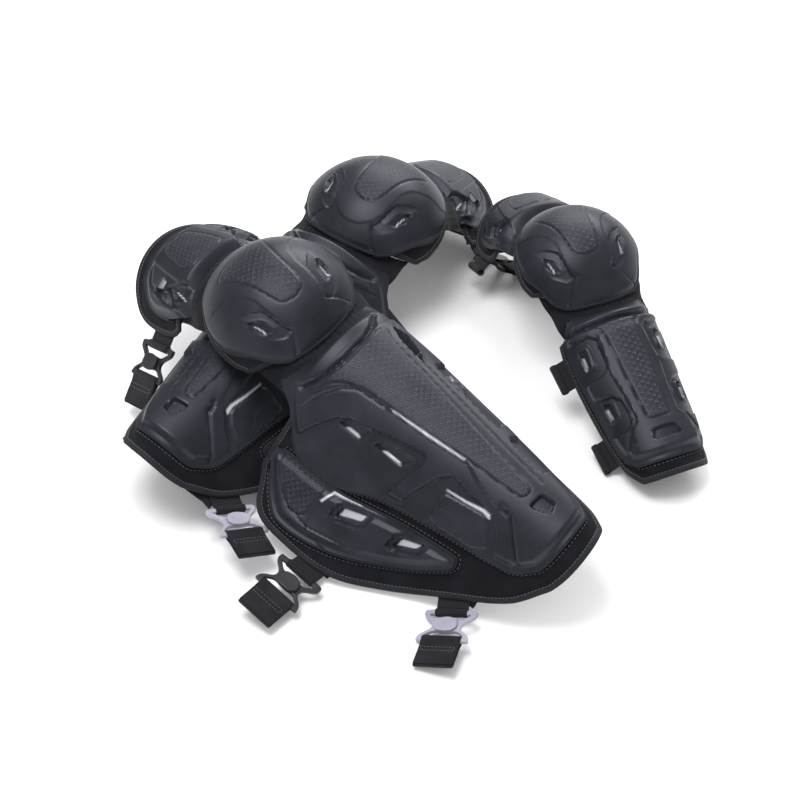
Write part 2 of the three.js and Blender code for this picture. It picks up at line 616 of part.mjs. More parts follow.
function makeStrap(guard, section, table, spec, drop, levelRow) {
  // Webbing tab sewn under the cloth edge, a hook frame on its loop and a strap end on the frame.
  const share = (spec.at - section.clothStart) / (section.clothEnd - section.clothStart);
  const t = fromTable(table, share, 1) * section.clothReach;
  const under = -seatGap - fabricThickness - sewnGap - strapThickness / 2;
  const place = faceted((s, a, out) => limbPlace(guard, section, s, a, out), rowStep, facetStep);
  const edge = place(spec.at, t + webbingClear, under);
  const outwards = edge.clone().sub(place(spec.at, t - webbingTuck, under)).normalize();
  const half = webbingWidth / 2;
  const alongEdge = place(spec.at + half, t - half, under).sub(place(spec.at - half, t - half, under));
  if (section.way < 0) alongEdge.negate();
  const up = outwards.clone().cross(alongEdge).normalize();
  const turn = (spec.turn ?? 0) * degree;
  const sewn = new THREE.Matrix4().makeBasis(outwards, up.clone().cross(outwards), up).setPosition(edge)
    .multiply(new THREE.Matrix4().makeRotationZ(turn));
  const lifted = sewn.clone().multiply(new THREE.Matrix4().makeRotationY(-webbingLift * degree));

  const loopRadius = barRadius + seatGap + loopWall;
  const frameWidth = strapWidth + hookArmWidth * 2 + seatGap * 2;
  const pivotAlong = webbingReach + loopRadius;
  const along = new THREE.Vector3().setFromMatrixColumn(lifted, 0);
  const outward = new THREE.Vector3().setFromMatrixColumn(lifted, 2);
  const bend = Math.atan2(along.dot(levelRow), outward.dot(levelRow)) + drop * degree;
  const hung = lifted.clone()
    .multiply(new THREE.Matrix4().makeTranslation(pivotAlong, 0, 0))
    .multiply(new THREE.Matrix4().makeRotationY(bend));

  const boreWidth = frameWidth + overrun;
  const lift = new THREE.Matrix4().makeRotationY(-webbingLift * degree).toArray();
  const loose = block(webbingWidth, pivotAlong, strapThickness, pivotAlong / 2, 0, 0)
    .add(rod(loopRadius, webbingWidth, pivotAlong, 0))
    .subtract(rod(barRadius + seatGap, boreWidth, pivotAlong, 0))
    .transform(lift);
  const tuckLength = webbingTuck + webbingClear;
  const tuck = block(webbingWidth, tuckLength + strapThickness, strapThickness, -tuckLength / 2, 0, 0);
  const webbing = geometryOf(loose.add(tuck));
  webbing.applyMatrix4(sewn);

  const armAt = frameWidth / 2 - hookArmWidth / 2;
  let frame = rod(barRadius, frameWidth - hookArmWidth, 0, 0);
  frame = frame.add(rod(barRadius, frameWidth - hookArmWidth, hookLength, 0));
  for (const side of [-1, 1]) {
    const armLength = hookLength + barRadius * 2;
    frame = frame.add(block(hookArmWidth, armLength, hookThickness, hookLength / 2, side * armAt, 0));
  }
  frame = frame.add(block(frameWidth - hookArmWidth, hookBridge, hookThickness, hookLength / 2, 0, 0));
  const hook = geometryOf(frame);
  hook.applyMatrix4(hung);

  const strapEnd = geometryOf(block(strapWidth, tabLength, tabThickness, hookLength + tabLength / 2, 0, 0)
    .add(rod(loopRadius, strapWidth, hookLength, 0))
    .subtract(rod(barRadius + seatGap, boreWidth, hookLength, 0)));
  strapEnd.applyMatrix4(hung);

  return { webbing, hook, strapEnd };
}

function makeBackStrap(guard, section, table, spec) {
  // The strap across the open back: a flap sewn flat under the cloth at each edge and a slack run between them.
  const place = faceted((s, a, out) => limbPlace(guard, section, s, a, out), rowStep, facetStep);
  const under = -seatGap - fabricThickness - sewnGap - strapThickness / 2;
  const underTab = under - strapThickness - sewnGap;
  const run = 5;
  const path = (s) => {
    const share = (s - section.clothStart) / (section.clothEnd - section.clothStart);
    const outer = fromTable(table, share, 1) * section.clothReach - strapThickness;
    const inner = -fromTable(table, share, 2) * section.clothReach + strapThickness;
    const from = place(s, inner + strapFlap, under);
    const to = place(s, outer - strapFlap, underTab);
    const points = [place(s, inner, under), from];
    for (let i = 1; i < run; i += 1) {
      const point = from.clone().lerp(to, i / run);
      point.z -= strapSag * Math.sin(Math.PI * i / run);
      points.push(point);
    }
    return [...points, to, place(s, outer, underTab)];
  };
  const paths = [-1, 0, 1].map((side) => path(spec.at + side * strapWidth / 2));
  const last = paths[0].length - 1;
  const at = (offset) => (u, v, i, j) => {
    const points = paths[j];
    const along = points[Math.min(i + 1, last)].clone().sub(points[Math.max(i - 1, 0)]);
    const normal = new THREE.Vector3(-along.z, 0, along.x).normalize();
    return points[i].clone().addScaledVector(normal, offset);
  };
  return slab(last, 2, at(-strapThickness / 2), at(strapThickness / 2));
}

function sectionTurn(place, fold) {
  const lay = new THREE.Euler(place.tilt * degree, place.lean * degree, place.turn * degree, 'ZXY');
  return new THREE.Matrix4().makeRotationFromEuler(lay).multiply(new THREE.Matrix4().makeRotationX(fold * degree));
}

function makeGuard(guard, drops, place, isMirrored) {
  const folds = { upper: place.upperFold, lower: -place.lowerFold };
  const isKnee = guard === knee;
  const lowerPlate = isKnee ? kneeLowerPlateShares : elbowLowerPlateShares;
  const lowerCloth = isKnee ? kneeLowerClothShares : elbowLowerClothShares;
  const lowerPad = isKnee ? kneeLowerPadShares : padShares;
  const names = isKnee ? ['thigh', 'knee', 'shin'] : ['upper', 'elbow', 'forearm'];
  const strip = isKnee ? kneeLowerStripShares : elbowLowerStripShares;
  const pockets = isKnee ? kneeLowerPocketShares : elbowLowerPocketShares;
  const windows = isKnee ? kneeLowerWindowShares : elbowLowerWindowShares;
  const pieces = [
    [`${names[0]}_shell`, 'upper', makeShell(guard, guard.upper, upperPlateShares, [upperStripShares], [],
      upperWindowShares), shellMaterial],
    [`${names[1]}_cup`, 'middle', makeCup(guard), shellMaterial],
    [`${names[2]}_shell`, 'lower', makeShell(guard, guard.lower, lowerPlate, [strip], pockets, windows),
      shellMaterial],
    [`${names[0]}_carrier`, 'upper', makeCloth(guard, guard.upper, upperClothShares), clothMaterial],
    [`${names[1]}_band`, 'middle', makeBand(guard), clothMaterial],
    [`${names[2]}_carrier`, 'lower', makeCloth(guard, guard.lower, lowerCloth), clothMaterial],
    [`${names[0]}_pad`, 'upper', makePad(guard, guard.upper, padShares), foamMaterial],
    [`${names[1]}_pad`, 'middle', makeCupPad(guard), foamMaterial],
    [`${names[2]}_pad`, 'lower', makePad(guard, guard.lower, lowerPad), foamMaterial],
  ];
  if (isKnee) pieces.push(['wing_shell', 'lower', makeWing(guard, guard.lower), shellMaterial]);
  for (const strap of isKnee ? kneeStraps : elbowStraps) {
    const spec = isMirrored && strap.name === 'ankle' ? { ...strap, at: leftAnkleAt } : strap;
    const table = spec.section === 'upper' ? upperClothShares : lowerCloth;
    const levelRow = new THREE.Vector3(0, 0, 1).transformDirection(
      sectionTurn(place, folds[spec.section]).invert(),
    );
    if (isMirrored) levelRow.x *= -1;
    const { webbing, hook, strapEnd } = makeStrap(
      guard, guard[spec.section], table, spec, drops[spec.name] ?? 0, levelRow,
    );
    const back = makeBackStrap(guard, guard[spec.section], table, spec);
    pieces.push([`${spec.name}_strap`, spec.section, back, webbingMaterial]);
    if (isKnee) {
      pieces.push([`${spec.name}_webbing`, spec.section, webbing, webbingMaterial]);
      pieces.push([`${spec.name}_hook`, spec.section, hook, hookMaterial]);
      pieces.push([`${spec.name}_strap_end`, spec.section, strapEnd, webbingMaterial]);
    } else {
      const buckle = geometryOf(solidOf(webbing));
      pieces.push([`${spec.name}_webbing`, spec.section, buckle, webbingMaterial]);
    }
  }
  return pieces;
}

function placeGuard(guard, pieces, prefix, place, isMirrored) {
  const group = new THREE.Group();
  group.position.fromArray(place.at);
  group.rotation.set(place.tilt * degree, place.lean * degree, place.turn * degree, 'ZXY');
  const folds = { upper: place.upperFold, middle: 0, lower: -place.lowerFold };
  for (const [section, fold] of Object.entries(folds)) {
    const part = new THREE.Group();
    part.rotation.x = fold * degree;
    for (const [name, home, geometry, material] of pieces) {
      if (home !== section) continue;
      const mesh = new THREE.Mesh(isMirrored ? mirrored(geometry) : geometry, material);
      mesh.name = `${prefix}_${name}`;
      part.add(mesh);
    }
    group.add(part);
  }
  return group;
}

const set = new THREE.Group();
set.add(placeGuard(knee, makeGuard(knee, rightDrops, rightPlace, false), 'right', rightPlace, false));
set.add(placeGuard(knee, makeGuard(knee, {}, leftPlace, true), 'left', leftPlace, true));
set.add(placeGuard(elbow, makeGuard(elbow, {}, elbowPlace, false), 'arm', elbowPlace, false));

const bounds = new THREE.Box3().setFromObject(set, true);
const middle = bounds.getCenter(new THREE.Vector3());
set.position.set(-middle.x, -middle.y, -bounds.min.z);

export default set;
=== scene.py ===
import json
import math

import bpy
import numpy as np
from mathutils import Matrix, Vector


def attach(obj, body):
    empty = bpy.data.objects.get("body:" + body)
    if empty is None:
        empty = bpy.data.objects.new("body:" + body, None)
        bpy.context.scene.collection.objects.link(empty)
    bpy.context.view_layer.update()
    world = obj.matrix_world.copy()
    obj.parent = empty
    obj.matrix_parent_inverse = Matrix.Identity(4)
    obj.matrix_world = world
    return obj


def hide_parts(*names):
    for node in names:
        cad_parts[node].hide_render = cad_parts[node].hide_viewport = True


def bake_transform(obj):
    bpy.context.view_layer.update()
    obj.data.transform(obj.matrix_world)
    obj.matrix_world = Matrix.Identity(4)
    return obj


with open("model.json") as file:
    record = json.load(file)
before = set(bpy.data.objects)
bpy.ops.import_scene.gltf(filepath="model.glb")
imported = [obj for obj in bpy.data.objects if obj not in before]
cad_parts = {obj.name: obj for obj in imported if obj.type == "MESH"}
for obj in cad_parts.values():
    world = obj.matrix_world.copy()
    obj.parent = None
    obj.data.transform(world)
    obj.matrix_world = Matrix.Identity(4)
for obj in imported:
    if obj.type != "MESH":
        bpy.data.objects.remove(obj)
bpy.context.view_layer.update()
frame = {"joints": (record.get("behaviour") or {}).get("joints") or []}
jointAt = {joint["name"]: joint["pos_m"] for joint in frame["joints"] if "pos_m" in joint}
degree = math.pi / 180
mm = 0.001
unlimited = 1e6  # mm, further than any edge lies

# Shared layers of a guard in mm, the same seats as in the solids
layers = {
    "seatGap": 0.3, "slideGap": 1.35, "bandGap": 1.1, "shellWall": 2.6, "rimHeight": 3.4, "rimWidth": 3.5,
    "bevelWidth": 6.5, "plateHeight": 7.0, "fabric": 2.2, "padThickness": 11, "channelDepth": 2.6, "cupPadExtra": 4,
    "collarShare": 0.84, "collarStartShare": 0.4,
}
# cloth gives the start, end, reach and bulge of a section's sheet, pad the start, end and reach of its foam
kneeGuard = {
    "cupRadius": 80, "cupFront": 58.5, "chinStart": 50, "chinOverBand": 4, "cupBack": 58, "cupSide": 64,
    "bandMargin": 12, "padHalfArc": 25, "padHalfWidth": 50,
    "parts": {"upper": "thigh", "middle": "knee", "lower": "shin"},
    "upper": {
        "way": -1, "crest": (57, 57), "curve": (72, 72), "near": 80, "far": 160, "shoulder": 80, "angles": (60, 60),
        "plateEnd": 146, "plateReach": 70, "cloth": (80, 160, 88, 10), "pad": (90, 148, 56),
        "tables": {"plate": "upperPlate", "cloth": "upperCloth", "pad": "pad"},
    },
    "lower": {
        "way": 1, "crest": (55, 46), "curve": (72, 42), "near": 80, "far": 350, "shoulder": 77, "angles": (42, 72),
        "flareFrom": 128, "flareRadius": 70, "plateEnd": 352, "plateReach": 112, "cloth": (80, 368, 182, 8),
        "pad": (90, 340, 76), "tables": {"plate": "kneeLowerPlate", "cloth": "kneeLowerCloth", "pad": "kneeLowerPad"},
    },
    "wing": (86, 282, 170),
}
elbowGuard = {
    "cupRadius": 69, "cupFront": 66, "chinStart": 45, "chinOverBand": 8, "cupBack": 56, "cupSide": 62,
    "bandMargin": 10, "padHalfArc": 25, "padHalfWidth": 42,
    "parts": {"upper": "upper", "middle": "elbow", "lower": "forearm"},
    "upper": {
        "way": -1, "crest": (50, 48), "curve": (60, 56), "near": 70, "far": 140, "shoulder": 72, "angles": (66, 66),
        "plateEnd": 128, "plateReach": 62, "cloth": (72, 142, 74, 8), "pad": (78, 130, 42),
        "tables": {"plate": "upperPlate", "cloth": "upperCloth", "pad": "pad"},
    },
    "lower": {
        "way": 1, "crest": (47, 41), "curve": (54, 42), "near": 70, "far": 230, "shoulder": 74, "angles": (70, 70),
        "plateEnd": 222, "plateReach": 56, "cloth": (74, 236, 68, 6), "pad": (80, 216, 36),
        "tables": {"plate": "elbowLowerPlate", "cloth": "elbowLowerCloth", "pad": "pad"},
    },
}
# How each guard lies: turn about the vertical, nose-up tilt and sideways lean in degrees, and its two folds
places = {
    "right": {"guard": kneeGuard, "joint": "right_knee_hinge", "turn": -133, "tilt": -3, "lean": 12,
              "folds": {"upper": 22, "middle": 0, "lower": -8.5}, "mirror": 1},
    "left": {"guard": kneeGuard, "joint": "left_knee_hinge", "turn": 146, "tilt": 3, "lean": -4,
             "folds": {"upper": 26, "middle": 0, "lower": -8.5}, "mirror": -1},
    "arm": {"guard": elbowGuard, "joint": "arm_elbow_hinge", "turn": -158, "tilt": -6, "lean": 2,
            "folds": {"upper": 30, "middle": 0, "lower": -14}, "mirror": 1},
}
# Outlines: share of the way along, then of the reach on the outer and the inner side, or on both
outlines = {
    "kneeLowerPlate": [[0, .4, .4], [.1, .45, .45], [.13, .62, .52], [.19, .84, .56], [.25, .98, .57],
                       [.38, .97, .56], [.52, .8, .5], [.7, .69, .42], [.88, .6, .31], [.95, .54, .26], [1, .4, .18]],
    "kneeLowerCloth": [[0, .76, .38], [.08, .95, .42], [.2, 1, .43], [.4, .98, .4], [.56, .86, .35], [.74, .68, .29],
                       [.92, .48, .23], [1, .3, .14]],
    "kneeLowerPad": [[0, .72, .5], [.1, 1, .58], [.4, .98, .54], [.7, .7, .4], [.92, .54, .28], [1, .4, .2]],
    "upperPlate": [[0, .62], [.3, .7], [.42, .92], [.65, 1], [.85, .93], [1, .64]],
    "upperCloth": [[0, .9], [.15, 1], [.6, 1], [.85, .9], [1, .64]],
    "pad": [[0, .8], [.15, 1], [.7, 1], [.92, .86], [1, .66]],
    "elbowLowerPlate": [[0, .66], [.2, .72], [.27, .98], [.45, 1], [.7, .94], [.92, .84], [1, .62]],
    "elbowLowerCloth": [[0, .94], [.1, 1], [.5, .98], [.85, .84], [1, .6]],
    "wing": [[0, .76, .68], [.05, .85, .672], [.12, .94, .668], [.2, 1, .668], [.37, .99, .655], [.54, .93, .61],
             [.72, .82, .56], [.88, .7, .53], [1, .59, .51]],
    "cup": [[0, .5], [.07, .68], [.2, .9], [.42, 1], [.66, .97], [.86, .78], [.95, .66], [1, .5]],
    "band": [[0, .5], [.08, .68], [.24, .9], [.5, 1], [.8, 1], [1, .9]],
}


def smooth(value):
    value = np.clip(value, 0, 1)
    return value * value * (3 - 2 * value)


def lerp(a, b, share):
    return a + (b - a) * share


def fromTable(table, share, column):
    # a smooth value read between the rows of an outline table
    table = np.array(table, float)
    x, y = table[:, 0], table[:, min(column, table.shape[1] - 1)]
    share = np.asarray(share, float)
    k = np.clip(np.searchsorted(x, share, side="left") - 1, 0, len(x) - 2)
    before, after = np.maximum(np.arange(len(x)) - 1, 0), np.minimum(np.arange(len(x)) + 1, len(x) - 1)
    slope = (y[after] - y[before]) / (x[after] - x[before])
    width = x[k + 1] - x[k]
    p = np.clip((share - x[k]) / width, 0, 1)
    fromHere = y[k] * (1 + 2 * p) * (1 - p) ** 2 + slope[k] * width * p * (1 - p) ** 2
    fromNext = y[k + 1] * p * p * (3 - 2 * p) - slope[k + 1] * width * p * p * (1 - p)
    return fromHere + fromNext


def bandRadius(guard):
    return guard["cupRadius"] - layers["shellWall"] - layers["bandGap"] - layers["fabric"]


def collarRadius(guard):
    return bandRadius(guard) - layers["slideGap"] - layers["shellWall"]


def ballPlace(radius, s, t, out):
    forward, across = s / radius, t / radius
    return np.stack([(radius + out) * np.sin(across), (radius + out) * np.cos(across) * np.sin(forward),
                     (radius + out) * np.cos(across) * np.cos(forward)], -1)


def cupPlace(guard, radius, s, t, out):
    # a ball over the joint that runs on straight over the shell below as a chin
    chin = guard["chinStart"] * degree
    s, t, out = np.broadcast_arrays(np.asarray(s, float), t, out)
    place = ballPlace(radius, np.minimum(s, chin * radius), t, out)
    beyond = np.maximum(s - chin * radius, 0)
    place[..., 1] += beyond * math.cos(chin)
    place[..., 2] -= beyond * math.sin(chin)
    return place


def limbPlace(guard, section, s, t, out):
    # s runs along the limb, t across it over the surface, out above the cloth; all in mm in the guard's frame
    s, t, out = np.broadcast_arrays(np.asarray(s, float), np.asarray(t, float), np.asarray(out, float))
    share = np.maximum((s - section["near"]) / (section["far"] - section["near"]), 0)
    crest, curve = lerp(*section["crest"], share), lerp(*section["curve"], share)
    side = np.where(t < 0, -1.0, 1.0)
    limit = np.where(side > 0, section["angles"][0], section["angles"][1]) * degree
    angle = np.minimum(np.abs(t) / curve, limit)
    flareFrom = np.where(side > 0, section.get("flareFrom", unlimited), unlimited)
    straight = np.minimum(np.abs(t), flareFrom) - curve * angle
    x = (curve + out) * np.sin(angle) + straight * np.cos(angle)
    z = crest - curve + (curve + out) * np.cos(angle) - straight * np.sin(angle)
    flare = section.get("flareRadius", 1)
    turned = angle - np.maximum(np.abs(t) - flareFrom, 0) / flare
    x = x + (flare - out) * (np.sin(angle) - np.sin(turned))
    z = z + (flare - out) * (np.cos(angle) - np.cos(turned))
    limb = np.stack([side * x, section["way"] * s, z], -1)
    radius = collarRadius(guard)
    lip = radius * layers["collarShare"]
    blend = smooth((s - lip) / (section["shoulder"] - lip))[..., None]
    ball = ballPlace(radius, radius * np.arcsin(np.minimum(s, lip) / radius), t, out)
    ball[..., 1] = section["way"] * (ball[..., 1] + np.maximum(s - lip, 0))
    return lerp(ball, limb, blend)


def sectionTurn(place, section):
    # the guard's turn, tilt and lean, then the section's own fold
    lie = Matrix.Identity(4)
    turns = ((place["turn"], "Z"), (place["tilt"], "X"), (place["lean"], "Y"), (place["folds"][section], "X"))
    for angle, axis in turns:
        lie = lie @ Matrix.Rotation(angle * degree, 4, axis)
    return lie


def sectionMatrix(place, section):
    # from a section's own mm to its place in the pile
    return (Matrix.Translation(Vector(jointAt[place["joint"]])) @ sectionTurn(place, section)
            @ Matrix.Diagonal((place["mirror"] * mm, mm, mm, 1)))


class Wire:
    # a socket in a node tree; Python's operators add the Math nodes
    def __init__(self, nodes, socket):
        self.nodes, self.socket = nodes, socket

    def math(self, operation, *values):
        return self.nodes.add("ShaderNodeMath", {"operation": operation}, dict(enumerate(values)))

    def __add__(self, other): return self.math("ADD", self, other)
    def __sub__(self, other): return self.math("SUBTRACT", self, other)
    def __rsub__(self, other): return self.math("SUBTRACT", other, self)
    def __mul__(self, other): return self.math("MULTIPLY", self, other)
    def __truediv__(self, other): return self.math("DIVIDE", self, other)
    def __mod__(self, other): return self.math("FLOORED_MODULO", self, other)
    def __abs__(self): return self.math("ABSOLUTE", self)
    __radd__, __rmul__ = __add__, __mul__

    def floor(self): return self.math("FLOOR", self)
    def most(self, other): return self.math("MAXIMUM", self, other)

    def step(self, low, high):
        # rises smoothly from 0 to 1 between two values
        return self.nodes.add("ShaderNodeMapRange", {"interpolation_type": "SMOOTHSTEP"},
                              {"Value": self, "From Min": low, "From Max": high})


class Nodes:
    # a node tree; add makes any node from its type, its settings and the values or wires of its sockets
    def __init__(self, tree):
        self.tree = tree

    def put(self, node, sockets):
        for key, value in sockets.items():
            if isinstance(value, Wire):
                self.tree.links.new(value.socket, node.inputs[key])
            else:
                node.inputs[key].default_value = (*value, 1) if isinstance(value, tuple) else value

    def add(self, kind, settings=None, sockets=None, output=0):
        node = self.tree.nodes.new(kind)
        for key, value in (settings or {}).items():
            setattr(node, key, value)
        self.put(node, sockets or {})
        return Wire(self, node.outputs[output])


class Finish(Nodes):
    # a procedural material; what varies over the surface goes only to colour, roughness and normal
    def __init__(self, name, **plain):
        self.material = bpy.data.materials.new(name)
        self.material.use_nodes = True
        super().__init__(self.material.node_tree)
        for socket, value in plain.items():
            self.set(socket.replace("_", " "), value)

    def set(self, socket, value):
        self.put(self.tree.nodes["Principled BSDF"], {socket: value})

    def mix(self, a, b, factor):
        return self.add("ShaderNodeMix", {"data_type": "RGBA"}, {0: factor, 6: a, 7: b}, 2)

    def attribute(self, name, output=2):
        return self.add("ShaderNodeAttribute", {"attribute_name": name}, {}, output)

    def sheetPlace(self):
        # place on the flat pattern in mm: along the limb, and across it
        vector = self.attribute("pattern", 1)
        return [self.add("ShaderNodeSeparateXYZ", {}, {0: vector}, k) for k in (0, 1)]

    def noise(self, scale, detail=3, roughness=0.55):
        return self.add("ShaderNodeTexNoise", {}, {"Vector": self.add("ShaderNodeTexCoord", {}, {}, 3), "Scale": scale,
                                                   "Detail": detail, "Roughness": roughness})

    def bump(self, height, strength, distance):
        self.set("Normal", self.add("ShaderNodeBump", {}, {"Height": height, "Strength": strength,
                                                           "Distance": distance}))

    def fabric(self, spec, mark, fibre, height, ground=None):
        # patchy ground colour, another colour where the mark is, rough by its fibres
        ground = ground or self.noise(*spec["patches"])
        colour = self.mix(spec["dark"], spec["light"], ground.step(*spec["patchRange"]))
        self.set("Base Color", self.mix(colour, spec["mark"], mark * spec["markShare"]))
        self.set("Roughness", spec["rough"] + (fibre * spec["fuzz"]))
        self.bump(height, spec["bump"], spec["depth"])
        return self.material


# Finishes. Pitches are in mm on the flat pattern, depths in m, and a noise is its scale and detail.
# Of these colours, the palest one is a painted highlight, the lighter ridge colour is partly wear and partly painted
# sheen, and the lip colour is a painted highlight on the dimple lips
moulding = {"dark": (0.0112, 0.0122, 0.0172), "light": (0.0205, 0.0223, 0.0298), "wearAndSheen": (0.04, 0.043, 0.056),
            "highlightPaint": (0.62, 0.63, 0.68), "lipHighlightColour": (0.075, 0.079, 0.096), "gloss": 0.38, "dimplePitch": 6.6,
            "dimpleSize": 0.31, "rowShare": 0.6, "bump": 0.55, "depth": 0.00045}
fabrics = {
    "cloth": {"dark": (0.0042, 0.0045, 0.0068), "light": (0.0092, 0.0097, 0.0135), "mark": (0.017, 0.0175, 0.022),
              "markShare": 0.5, "patches": (30, 4), "patchRange": (0.3, 0.7), "fibre": (1400, 3), "rough": 0.82,
              "fuzz": 0.14, "bump": 0.6, "depth": 0.0003, "pitch": 0.9},
    "band": {"dark": (0.008, 0.0085, 0.012), "light": (0.0145, 0.0152, 0.02), "mark": (0.004, 0.004, 0.005),
             "markShare": 0.85, "patches": (34, 3), "patchRange": (0.3, 0.7), "fibre": (1500, 2), "rough": 0.66,
             "fuzz": 0.2, "bump": 0.7, "depth": 0.0004, "pitch": 1.9, "rowPitch": 1.5, "hole": (0.03, 0.11)},
    "tape": {"dark": (0.0065, 0.007, 0.0095), "light": (0.013, 0.0137, 0.018), "mark": (0.05, 0.052, 0.062),
             "markShare": 0.6, "patches": (40, 3), "patchRange": (0.3, 0.7), "fibre": (1300, 3), "rough": 0.6,
             "fuzz": 0.25, "bump": 0.6, "depth": 0.0003, "pitch": 1.1},
    "webbing": {"dark": (0.008, 0.0082, 0.0105), "light": (0.02, 0.0205, 0.025), "mark": (0.033, 0.034, 0.04),
                "markShare": 0.4, "patches": (60, 3), "patchRange": (0.2, 0.9), "fibre": (1500, 2), "rough": 0.55,
                "fuzz": 0.25, "bump": 0.75, "depth": 0.0005, "pitch": 1.6, "threadPitch": 0.8},
    "tab": {"dark": (0.0075, 0.0077, 0.0098), "light": (0.019, 0.0195, 0.024), "mark": (0.03, 0.031, 0.036),
            "markShare": 0.35, "patches": (55, 3), "patchRange": (0.25, 0.75), "fibre": (900, 4, 0.7), "rough": 0.6,
            "fuzz": 0.3, "bump": 0.7, "depth": 0.0005},
    "foam": {"dark": (0.0115, 0.0118, 0.0145), "light": (0.022, 0.0225, 0.0265), "mark": (0.003, 0.003, 0.004),
             "markShare": 0.9, "patches": (26, 4), "patchRange": (0.3, 0.7), "fibre": (1300, 3), "rough": 0.78,
             "fuzz": 0.18, "bump": 0.7, "depth": 0.0007, "pitch": 4.0, "rowPitch": 3.4, "hole": (0.02, 0.06)},
}
hookPlastics = {
    "hookDark": ("dark_hook_plastic", (0.012, 0.0125, 0.016), (0.024, 0.025, 0.031), 0.3),
    "hookLight": ("light_hook_plastic", (0.33, 0.32, 0.4), (0.43, 0.42, 0.51), 0.34),
}


def ribs(place, pitch):
    return abs((place / pitch) % 1 - 0.5) * 2


def stagger(along, across, pitch, rowPitch):
    # place inside each cell of staggered rows, from -0.5 to 0.5
    row = across / rowPitch
    return ((along / pitch + (row.floor() % 2) * 0.5) % 1) - 0.5, (row % 1) - 0.5


def holes(along, across, spec):
    # small round holes in staggered rows
    x, y = stagger(along, across, spec["pitch"], spec["rowPitch"])
    return 1 - ((x * x) + (y * y)).step(*spec["hole"])


def dimples(along, across, pitch, size):
    # small three-cornered pits in staggered rows, and the lips round them, which get a painted highlight
    x, y = stagger(along, across, pitch, pitch * moulding["rowShare"])
    y = y * moulding["rowShare"]
    corner = (abs(x) * 0.866 + y * 0.5).most(y * -1)
    lip = corner.step(size * 0.3, size * 0.5) * (1 - corner.step(size * 0.5, size * 0.62))
    return 1 - corner.step(size * 0.2, size * 0.45), lip


def shellFinish():
    m = moulding
    finish = Finish("moulded_shell", Specular_IOR_Level=0.42, Specular_Tint=(0.84, 0.89, 1.0))
    textured, edgeWearAndSheen, paintedHighlight = (finish.attribute(name) for name in ("textured", "edgeWearAndSheen", "paintedHighlight"))
    cloudy, grain, scuff = finish.noise(26, 4), finish.noise(1900, 2), finish.noise(150, 5, 0.7)
    pits, lipHighlights = dimples(*finish.sheetPlace(), m["dimplePitch"], m["dimpleSize"])
    pits, lipHighlights = pits * textured, lipHighlights * textured
    colour = finish.mix(m["dark"], m["light"], cloudy.step(0.3, 0.75))
    # raised ridges lightened, partly as wear and partly as painted sheen
    colour = finish.mix(colour, m["wearAndSheen"], (edgeWearAndSheen * scuff.step(0.35, 0.7)) * 0.6)
    # painted shade darkens the dimple pits and a painted highlight lightens their lips
    colour = finish.mix(finish.mix(colour, m["dark"], pits * 0.75), m["lipHighlightColour"], lipHighlights * scuff.step(0.3, 0.6))
    # painted highlight: a pale colour laid over window floors, bevels and ridge lines
    finish.set("Base Color", finish.mix(colour, m["highlightPaint"], paintedHighlight * 0.85))
    rough = (m["gloss"] + (cloudy * 0.1)) + (grain * 0.06) + (textured * 0.08) - (edgeWearAndSheen * 0.1)
    finish.set("Roughness", rough - (paintedHighlight * 0.25))
    finish.bump((grain * 0.12) + (scuff * 0.03) - pits, m["bump"], m["depth"])
    return finish.material


def clothFinish(spec):
    finish = Finish("woven_cloth", Sheen_Weight=0.05, Sheen_Roughness=0.5, Specular_IOR_Level=0.1)
    along, across = finish.sheetPlace()
    threads = ribs(along + across, spec["pitch"]).most(ribs(along - across, spec["pitch"]))
    fibre = finish.noise(*spec["fibre"])
    return finish.fabric(spec, threads * fibre, fibre, (threads * 0.7) + (fibre * 0.5))


def bandFinish(spec):
    # open mesh cloth of the band round the cup
    finish = Finish("mesh_cloth", Sheen_Weight=0.05, Sheen_Roughness=0.5, Specular_IOR_Level=0.12)
    hole, fibre = holes(*finish.sheetPlace(), spec), finish.noise(*spec["fibre"])
    return finish.fabric(spec, hole, fibre, (fibre * 0.25) - hole)


def tapeFinish(spec):
    # binding tape folded over the cloth edges
    finish = Finish("binding_tape", Sheen_Weight=0.05, Specular_IOR_Level=0.2)
    rib, fibre = ribs(finish.sheetPlace()[0], spec["pitch"]), finish.noise(*spec["fibre"])
    return finish.fabric(spec, rib * fibre, fibre, (rib * 0.6) + (fibre * 0.4))


def webbingFinish(spec):
    # nylon webbing: ribs across its length, threads along it
    finish = Finish("ribbed_webbing", Sheen_Weight=0.05, Specular_IOR_Level=0.2)
    along, across = finish.sheetPlace()
    rib, thread = ribs(across, spec["pitch"]), ribs(along, spec["threadPitch"])
    fibre = finish.noise(*spec["fibre"])
    height = rib + (thread * 0.35) + (fibre * 0.15)
    return finish.fabric(spec, thread * finish.noise(*spec["patches"]), fibre, height, rib)


def tabFinish(spec):
    # smooth tape of the strap ends, with a brushed pile
    finish = Finish("strap_tape", Sheen_Weight=0.08, Sheen_Roughness=0.45, Specular_IOR_Level=0.15)
    pile = finish.noise(*spec["fibre"])
    return finish.fabric(spec, pile, pile, pile)


def foamFinish(spec):
    # perforated lining cloth on the foam
    finish = Finish("foam_lining", Sheen_Weight=0.05, Specular_IOR_Level=0.12)
    hole, fibre = holes(*finish.sheetPlace(), spec), finish.noise(*spec["fibre"])
    return finish.fabric(spec, hole, fibre, (fibre * 0.35) - hole)


def plasticFinish(name, dark, light, gloss):
    finish = Finish(name, Specular_IOR_Level=0.5)
    cloudy, grain, scuff = finish.noise(45, 4), finish.noise(1700, 2), finish.noise(210, 5, 0.7)
    finish.set("Base Color", finish.mix(dark, light, cloudy.step(0.25, 0.75)))
    finish.set("Roughness", (gloss + (cloudy * 0.12)) + (scuff * 0.1))
    finish.bump(grain + (scuff * 0.4), 0.3, 0.0002)
    return finish.material


